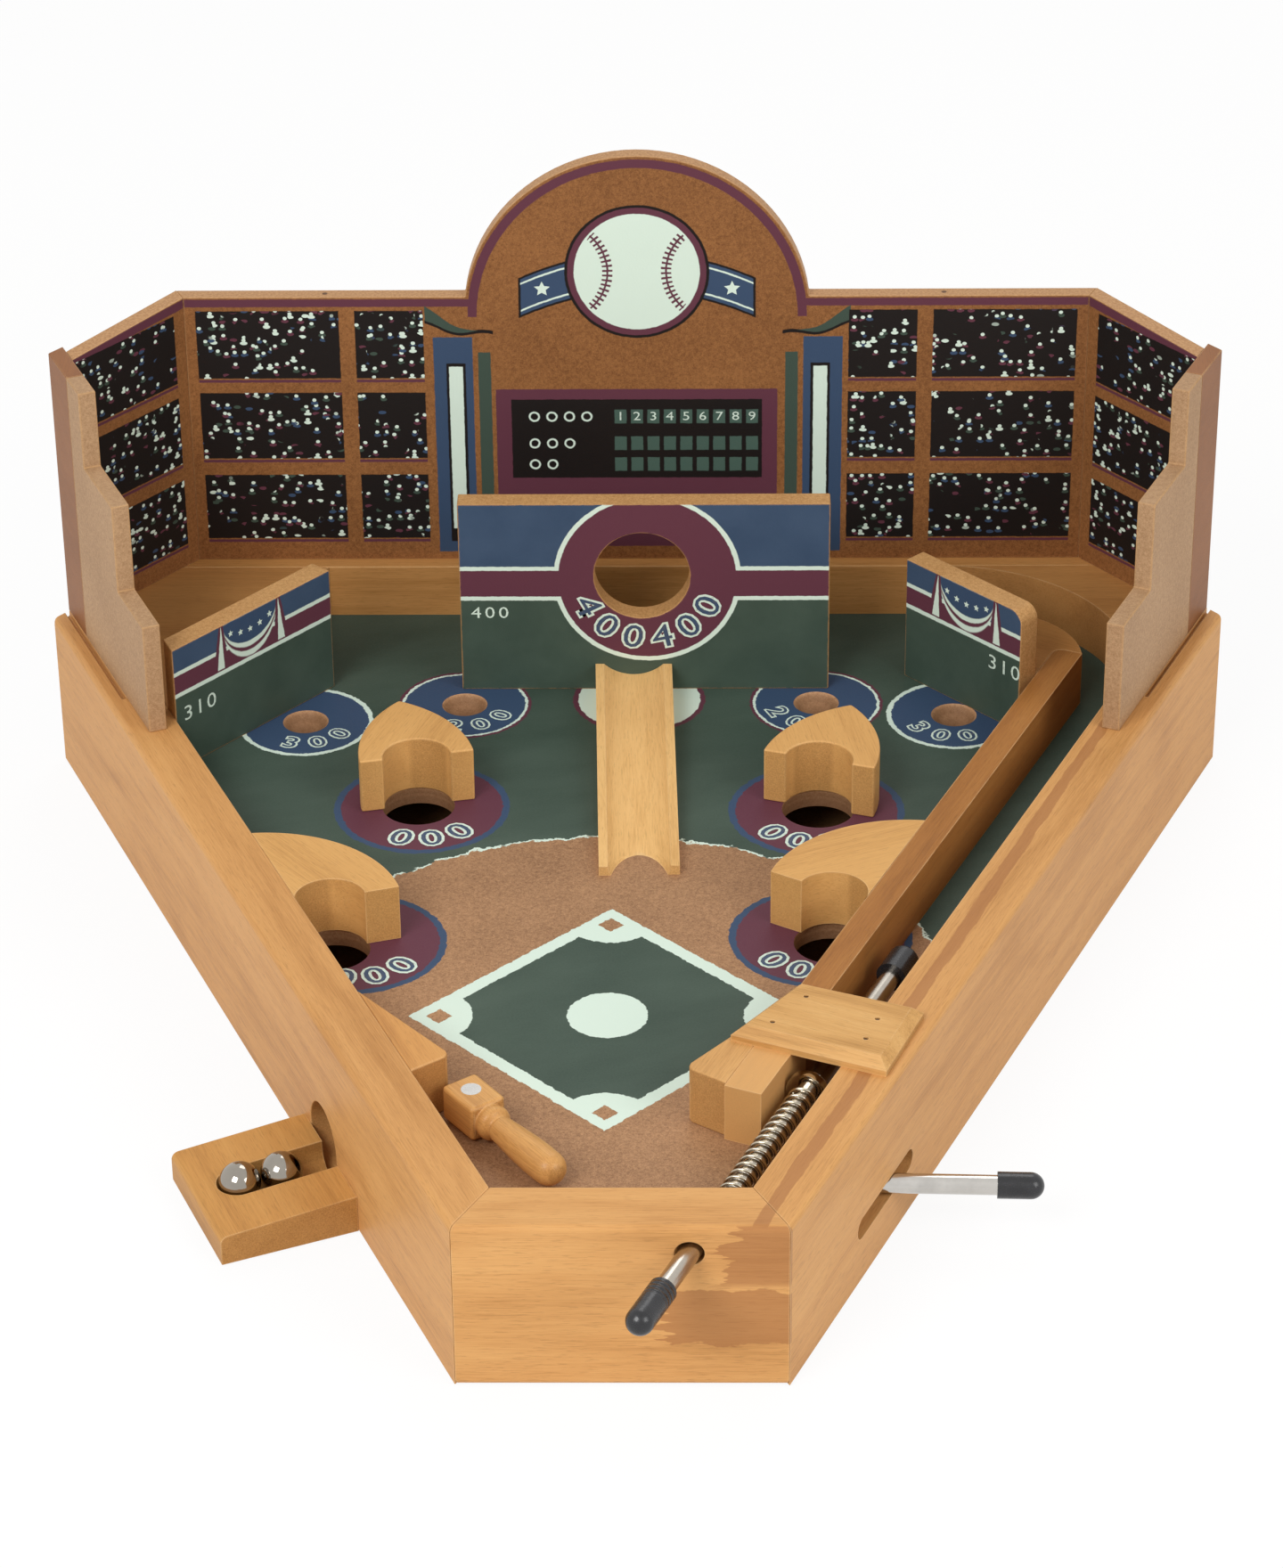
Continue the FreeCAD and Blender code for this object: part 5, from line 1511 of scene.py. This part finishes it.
@dataclass
class Playfield:
    """The printed board, its fences, guards, rail, ramp and blocks."""

    rail_arris: float = 0.5
    thin_arris: float = 0.4
    block_arris: float = 0.6
    pale_foot: float = 90.5
    plate_turn: float = -24.5
    ramp_turn: float = 91.6
    left_turn: float = 229.5
    left_start: Plan = (-102.6, 336.1)
    left_swag: float = 37.6
    right_turn: float = -46.5
    right_start: Plan = (91.0, 343.1)
    right_swag: float = 28.0
    ring_numbers: Plan = (20.0, 29.0)
    dish_numbers: Plan = (14.6, 36.0)
    target_numbers: Plan = (23.0, 25.0)

    def lane(self) -> None:
        """Eases and dresses the lane's rail, its curved block and the plate over it."""
        rail = Wood("rail_wood", WALL_TURN, light=(188, 134, 72), middle=(164, 108, 52),
                    dark=(128, 80, 36), pale_until=self.pale_foot).material()
        BENCH.eased("lane_rail", Body.CASE, rail, self.rail_arris)
        curve = Wood("curved_block_wood", 150.0, light=(206, 150, 86), middle=(186, 130, 70),
                     dark=(150, 98, 48)).material()
        BENCH.eased("curved_block", Body.CASE, curve, self.thin_arris)
        plate = Wood("bridge_wood", self.plate_turn, light=(232, 188, 124), middle=(210, 160, 96),
                     dark=(170, 122, 64), figure=0.8, worn=0.4).material()
        BENCH.eased("bridge_plate", Body.CASE, plate, self.thin_arris)
        BENCH.dress_node("bridge_nails", Metal("nail_steel", (110, 92, 78), 0.4).material())

    def blocks(self) -> None:
        """Eases and dresses the deflectors, the guards behind the holes and the ramp."""
        block = Wood("deflector_wood", WALL_TURN, light=(228, 180, 116), middle=(211, 160, 98),
                     dark=(178, 128, 72), figure=0.4).material()
        BENCH.eased("right_deflector", Body.CASE, block, self.block_arris)
        other = Wood("left_deflector_wood", 180 - WALL_TURN, light=(224, 168, 100),
                     middle=(206, 148, 84), dark=(170, 114, 60)).material()
        BENCH.eased("left_deflector", Body.CASE, other, self.block_arris)
        for node, degrees in (("upper_left_guard", 70.0), ("upper_right_guard", 100.0),
                              ("lower_left_guard", 130.0), ("lower_right_guard", 25.0)):
            guard = Wood(node + "_wood", degrees, light=(230, 180, 112), middle=(214, 162, 96),
                         dark=(180, 128, 70), figure=0.25).material()
            BENCH.eased(node, Body.CASE, guard, self.block_arris)
        ramp = Wood("ramp_wood", self.ramp_turn, light=(246, 204, 140), middle=(234, 188, 122),
                    dark=(206, 156, 92), figure=0.3).material()
        BENCH.eased("ramp", Body.CASE, ramp, self.rail_arris)

    def fences(self) -> None:
        """Eases and dresses the three fences."""
        for node, finish in (
                ("center_fence", FencePrint()),
                ("left_fence", FencePrint(self.left_turn, self.left_start, "left_fence_ink",
                                          self.left_swag)),
                ("right_fence", FencePrint(self.right_turn, self.right_start, "right_fence_ink",
                                           self.right_swag))):
            BENCH.eased(node, Body.CASE, finish.material(), self.thin_arris)

    def board_numbers(self, mint: bpy.types.Material, navy: bpy.types.Material) -> None:
        """Prints the numbers on the board's rings and dishes.

        Args:
            mint: Ink of the numerals and their outlines.
            navy: Ink inside the outlined numerals.
        """
        origin = spot(0, 0, FIELD_TOP)
        rings = Numerals(origin, X_WAY, Y_WAY, mint, navy, 12.6, 0.8)
        for name, middle, centre in zip(("upper_left", "upper_right", "lower_left", "lower_right"),
                                        FieldPrint.out_rings, (12.0, -18.0, 22.0, -20.0)):
            rings.around(name + "_ring_numbers", "000", middle, centre, self.ring_numbers, "field_print")
        dishes = Numerals(origin, X_WAY, Y_WAY, mint, navy, 9.6, 0.6)
        for name, letters, middle, centre in (
                ("left_outer", "300", FieldPrint.outer_dishes[0], 20.0),
                ("right_outer", "300", FieldPrint.outer_dishes[1], -20.0),
                ("left_inner", "200", FieldPrint.inner_dishes[0], 24.0),
                ("right_inner", "200", FieldPrint.inner_dishes[1], -30.0)):
            dishes.around(name + "_dish_numbers", letters, middle, centre, self.dish_numbers, "field_print")

    def fence_numbers(self, mint: bpy.types.Material, navy: bpy.types.Material) -> None:
        """Prints the numbers on the three fences.

        Args:
            mint: Ink of the numerals and their outlines.
            navy: Ink inside the outlined numerals.
        """
        origin = spot(*FencePrint.start, 0)
        target = Numerals(origin, X_WAY, Z_WAY, mint, navy, 12.2, 0.7)
        target.around("target_ring_numbers", "400400", FencePrint.target, 0.0, self.target_numbers,
                      "fence_print")
        center = Numerals(origin, X_WAY, Z_WAY, mint, None, 6.0, 0.0)
        center.row("center_fence_number", "400", -53.6, 65.4, 4.6, "fence_print")
        left_way = level_way(self.left_turn - 180.0)
        left = Numerals(spot(*self.left_start, 0), left_way, Z_WAY, mint, None, 7.6, 0.0)
        left.row("left_fence_number", "310", -67.5, 55.3, 5.3, "fence_print")
        right_way = level_way(self.right_turn)
        other = Numerals(spot(*self.right_start, 0), right_way, Z_WAY, mint, None, 7.4, 0.0)
        other.row("right_fence_number", "310", 40.6, 57.3, 5.2, "fence_print")

    def build(self, mint: bpy.types.Material, navy: bpy.types.Material) -> None:
        """Dresses everything that stands on the playfield and prints its numbers.

        Args:
            mint: Ink of the numerals and their outlines.
            navy: Ink inside the outlined numerals.
        """
        BENCH.dress_node("playfield", FieldPrint().material())
        self.lane()
        self.blocks()
        self.fences()
        self.board_numbers(mint, navy)
        self.fence_numbers(mint, navy)


@dataclass
class Stadium:
    """The domed back panel, its wings, stiles and stepped side panels."""

    arris: float = 0.4
    face: float = 392.2
    number_size: float = 4.6
    number_inset: float = 2.65
    number_height: float = 110.0

    def build(self, mint: bpy.types.Material) -> None:
        """Eases, dresses and numbers the stadium.

        Args:
            mint: Ink of the numerals and their outlines.
        """
        wings = StadiumPrint(wing=True).material()
        step = PlainBoard("step_hardboard").material()
        stile = Wood("stile_wood", 90.0, light=(158, 106, 66), middle=(142, 93, 56), dark=(122, 77, 44),
                     figure=0.2, lacquer=0.05, worn=0.4).material()
        for node, finish, slot in (
                ("back_panel", StadiumPrint().material(), "stadium_print"),
                ("left_wing", wings, "stadium_print"),
                ("right_wing", wings, "stadium_print"),
                ("left_step_panel", step, "step_board"),
                ("right_step_panel", step, "step_board"),
                ("left_stile", stile, "stile_board"),
                ("right_stile", stile, "stile_board")):
            BENCH.eased(node, Body.CASE, finish, self.arris)
        board = Numerals(spot(0, self.face, 0), X_WAY, Z_WAY, mint, None, self.number_size, 0.0, 0.08)
        board.row("inning_numbers", "123456789", Scoreboard.cell_left + self.number_inset,
                  self.number_height, Scoreboard.cell_step, "stadium_print")


@dataclass
class Plunger:
    """Rod, knob, collar, tip and the wound spring of the plunger."""

    line_start: Triple = (19.027, 0.0, 46.0)
    washer_face: float = 18.17
    collar_at: float = 85.0
    mean_radius: float = 3.75
    wire_radius: float = 0.5
    wire_sides: int = 10
    turns: int = 18
    turn_steps: int = 28
    travel: float = 25.0

    def along(self, t: float) -> Vector:
        """Row-frame point t millimetres along the plunger's line."""
        x, y, z = self.line_start
        return spot(x + t * SIN, y + t * COS, z)

    def spring(self, material: bpy.types.Material) -> None:
        """Winds the spring as a screw of a small ring, with its two ends closed.

        Args:
            material: The finish.
        """
        length = self.collar_at - self.washer_face - 2 * self.wire_radius
        BENCH.clear()
        bpy.ops.mesh.primitive_circle_add(vertices=self.wire_sides, radius=self.wire_radius * MM,
                                          location=(self.mean_radius * MM, 0, 0),
                                          rotation=(math.radians(90), 0, 0))
        coil = bpy.context.object
        bpy.ops.object.transform_apply(location=True, rotation=True, scale=True)
        BENCH.apply(coil, "SCREW", axis="Z", angle=2 * math.pi, iterations=self.turns,
                    screw_offset=length / self.turns * MM, steps=self.turn_steps,
                    render_steps=self.turn_steps)
        BENCH.pick(coil)
        bpy.ops.object.mode_set(mode="EDIT")
        bpy.ops.mesh.select_all(action="SELECT")
        bpy.ops.mesh.remove_doubles(threshold=1e-6)
        bpy.ops.mesh.fill_holes(sides=self.wire_sides)
        bpy.ops.mesh.select_all(action="SELECT")
        bpy.ops.mesh.normals_make_consistent(inside=False)
        bpy.ops.object.mode_set(mode="OBJECT")
        way = Vector((SIN, COS, 0.0))
        turn = way.to_track_quat("Z", "Y").to_matrix().to_4x4()
        coil.data.transform(Matrix.Translation(self.along(self.washer_face + self.wire_radius)) @ turn)
        bpy.ops.object.shade_smooth()
        coil.name = "plunger_coil"
        BENCH.dress(coil, material)
        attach(coil, Body.CASE.value)
        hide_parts("plunger_spring")
        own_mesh(coil)
        BENCH.made.append(coil.name)
        log.info("wound %s", coil.name)

    def build(self, rubber: bpy.types.Material) -> None:
        """Builds the spring and dresses the plunger.

        Args:
            rubber: Finish of the rubber caps.
        """
        steel = Metal("plunger_steel", (192, 184, 172), 0.16, WALL_TURN).material()
        BENCH.dress_node("plunger_rod", steel)
        BENCH.dress_node("plunger_knob", Rubber("ribbed_rubber_knob", True).material())
        BENCH.dress_node("plunger_tip", rubber)
        collar = Metal("collar_chrome", (206, 199, 188), 0.07, marks=0.05).material()
        BENCH.dress_node("plunger_collar", collar)
        BENCH.dress_node("spring_washer", Metal("washer_steel", (180, 176, 170), 0.3).material())
        self.spring(Metal("spring_steel", (196, 186, 166), 0.16, marks=0.08).material())


@dataclass
class BatAndLever:
    """The turned bat on its shaft, the crank under the board and the lever that drives it."""

    bat_turn: float = -53.3
    bat_arris: float = 0.3

    def build(self, rubber: bpy.types.Material) -> None:
        """Dresses the bat's and the lever's pieces.

        Args:
            rubber: Finish of the rubber caps.
        """
        bat = Wood("bat_wood", self.bat_turn, light=(230, 180, 112), middle=(210, 156, 90),
                   dark=(174, 120, 62), lacquer=0.3).material()
        BENCH.eased("bat", Body.BAT, bat, self.bat_arris)
        steel = Metal("shaft_steel", (206, 204, 200), 0.22).material()
        for node in ("bat_shaft", "bat_crank", "crank_pin", "bat_spring", "lever_hub", "lever_fork",
                     "lever_pivot"):
            BENCH.dress_node(node, steel)
        BENCH.dress_node("lever_rod", Metal("lever_steel", (206, 202, 196), 0.12, 0.0).material())
        BENCH.dress_node("lever_cap", rubber)


@dataclass
class BallTray:
    """The tray on the left wall and its two balls."""

    arris: float = 0.5

    def build(self) -> None:
        """Eases the tray and dresses the balls."""
        tray = Wood("tray_wood", 180 - WALL_TURN, light=(218, 166, 98), middle=(200, 146, 80),
                    dark=(164, 112, 56)).material()
        BENCH.eased("ball_tray", Body.CASE, tray, self.arris)
        chrome = Metal("ball_chrome", (164, 157, 147), 0.05, marks=0.03).material()
        for node in ("ball_1", "ball_2"):
            BENCH.dress_node(node, chrome)


@dataclass(frozen=True)
class Lamp:
    """One soft square lamp over the object."""

    name: str
    place: Triple
    size: float
    power: float


@dataclass
class Studio:
    """Camera, lamps, world and floor, in metres."""

    camera_at: Triple = (0.0258, -1.2566, 0.8265)
    pitch: float = 30.82
    yaw: float = -1.01
    roll: float = -0.603
    lens: float = 108.08
    sensor: float = 36.0
    aim: Triple = (0.0, 0.0, 0.05)
    lamps: Tuple[Lamp, ...] = (Lamp("key_lamp", (-0.75, -1.15, 1.25), 0.8, 17.0),
                               Lamp("fill_lamp", (1.1, -0.9, 0.9), 0.8, 8.0),
                               Lamp("rear_lamp", (0.2, 1.0, 1.4), 0.7, 3.5))
    floor_size: float = 14.0
    floor_drop: float = 0.0004
    floor_grey: float = 0.86
    floor_seen: float = 0.88
    floor_glow: float = 1.02
    sky: Tuple[float, ...] = (1.0, 0.985, 0.96, 1.0)
    sky_strength: float = 0.5

    def camera(self) -> None:
        """Sets up the camera at the photograph's viewing angle."""
        data = bpy.data.cameras.new("camera")
        data.sensor_fit = "VERTICAL"
        data.sensor_height = self.sensor
        data.sensor_width = self.sensor
        data.lens = self.lens
        data.clip_start = 0.01
        thing = bpy.data.objects.new("camera", data)
        bpy.context.scene.collection.objects.link(thing)
        pitch, yaw, roll = (math.radians(angle) for angle in (self.pitch, self.yaw, self.roll))
        ahead = Vector((math.sin(yaw) * math.cos(pitch), math.cos(yaw) * math.cos(pitch), -math.sin(pitch)))
        side = Vector((math.cos(yaw), -math.sin(yaw), 0.0))
        up = side.cross(ahead)
        level = side * math.cos(roll) + up * math.sin(roll)
        upper = up * math.cos(roll) - side * math.sin(roll)
        turn = Matrix((level, upper, -ahead)).transposed().to_4x4()
        thing.matrix_world = Matrix.Translation(Vector(self.camera_at)) @ turn
        bpy.context.scene.camera = thing

    def hang(self, lamp: Lamp) -> None:
        """Hangs one lamp and points it at the object.

        Args:
            lamp: The lamp.
        """
        data = bpy.data.lights.new(lamp.name, "AREA")
        data.size = lamp.size
        data.energy = lamp.power
        thing = bpy.data.objects.new(lamp.name, data)
        bpy.context.scene.collection.objects.link(thing)
        way = Vector(self.aim) - Vector(lamp.place)
        thing.location = lamp.place
        thing.rotation_euler = way.to_track_quat("-Z", "Y").to_euler()

    def floor(self) -> None:
        """Lays a plain pale floor that is near white to the camera and keeps the shadow."""
        BENCH.clear()
        bpy.ops.mesh.primitive_plane_add(size=self.floor_size, location=(0, 0, -self.floor_drop))
        floor = bpy.context.object
        floor.name = "studio_floor"
        mixer = Mixer("studio_floor_paint")
        diffuse = mixer.node("ShaderNodeBsdfDiffuse", None, {"Color": (self.floor_grey,) * 3 + (1.0,)})
        glow = mixer.node("ShaderNodeEmission", None, {"Color": (1.0,) * 4, "Strength": self.floor_glow})
        path = mixer.node("ShaderNodeLightPath")
        camera, glossy, through = (Signal(mixer, path.outputs[ray]) for ray in (
            "Is Camera Ray", "Is Glossy Ray", "Is Transmission Ray"))
        seen = (camera + glossy + through) * self.floor_seen
        mix = mixer.node("ShaderNodeMixShader", None,
                         {0: seen, 1: Signal(mixer, diffuse.outputs[0]), 2: Signal(mixer, glow.outputs[0])})
        mixer.node("ShaderNodeOutputMaterial", None, {"Surface": Signal(mixer, mix.outputs[0])})
        BENCH.dress(floor, mixer.material)

    def world(self) -> None:
        """Gives even soft light, and a white background to the camera."""
        world = bpy.data.worlds.new("studio_world")
        world.use_nodes = True
        bpy.context.scene.world = world
        tree = world.node_tree
        tree.nodes.clear()
        path = tree.nodes.new("ShaderNodeLightPath")
        seen = tree.nodes.new("ShaderNodeMath")
        seen.operation = "ADD"
        tree.links.new(path.outputs["Is Camera Ray"], seen.inputs[0])
        tree.links.new(path.outputs["Is Glossy Ray"], seen.inputs[1])
        soft = tree.nodes.new("ShaderNodeBackground")
        soft.inputs["Color"].default_value = self.sky
        soft.inputs["Strength"].default_value = self.sky_strength
        white = tree.nodes.new("ShaderNodeBackground")
        white.inputs["Strength"].default_value = 1.0
        white.inputs["Color"].default_value = (1.0, 1.0, 1.0, 1.0)
        mix = tree.nodes.new("ShaderNodeMixShader")
        out = tree.nodes.new("ShaderNodeOutputWorld")
        tree.links.new(seen.outputs[0], mix.inputs[0])
        tree.links.new(soft.outputs[0], mix.inputs[1])
        tree.links.new(white.outputs[0], mix.inputs[2])
        tree.links.new(mix.outputs[0], out.inputs[0])

    def build(self) -> None:
        """Sets the whole studio."""
        bpy.context.scene.view_settings.view_transform = "Standard"
        self.camera()
        self.floor()
        self.world()
        for lamp in self.lamps:
            self.hang(lamp)


def main() -> None:
    """Builds the studio and every sub-assembly in order."""
    logging.basicConfig(level=logging.INFO, format="%(name)s: %(message)s")
    Studio().build()
    rubber = Rubber().material()
    mint = FlatInk("mint_numeral_ink", Ink.MINT).material()
    navy = FlatInk("navy_numeral_ink", Ink.NAVY).material()
    Case().build()
    Playfield().build(mint, navy)
    Stadium().build(mint)
    Plunger().build(rubber)
    BatAndLever().build(rubber)
    BallTray().build()
    BENCH.clear()
    log.info("%d pieces in all", len(BENCH.made))


if __name__ == "__main__":
    main()
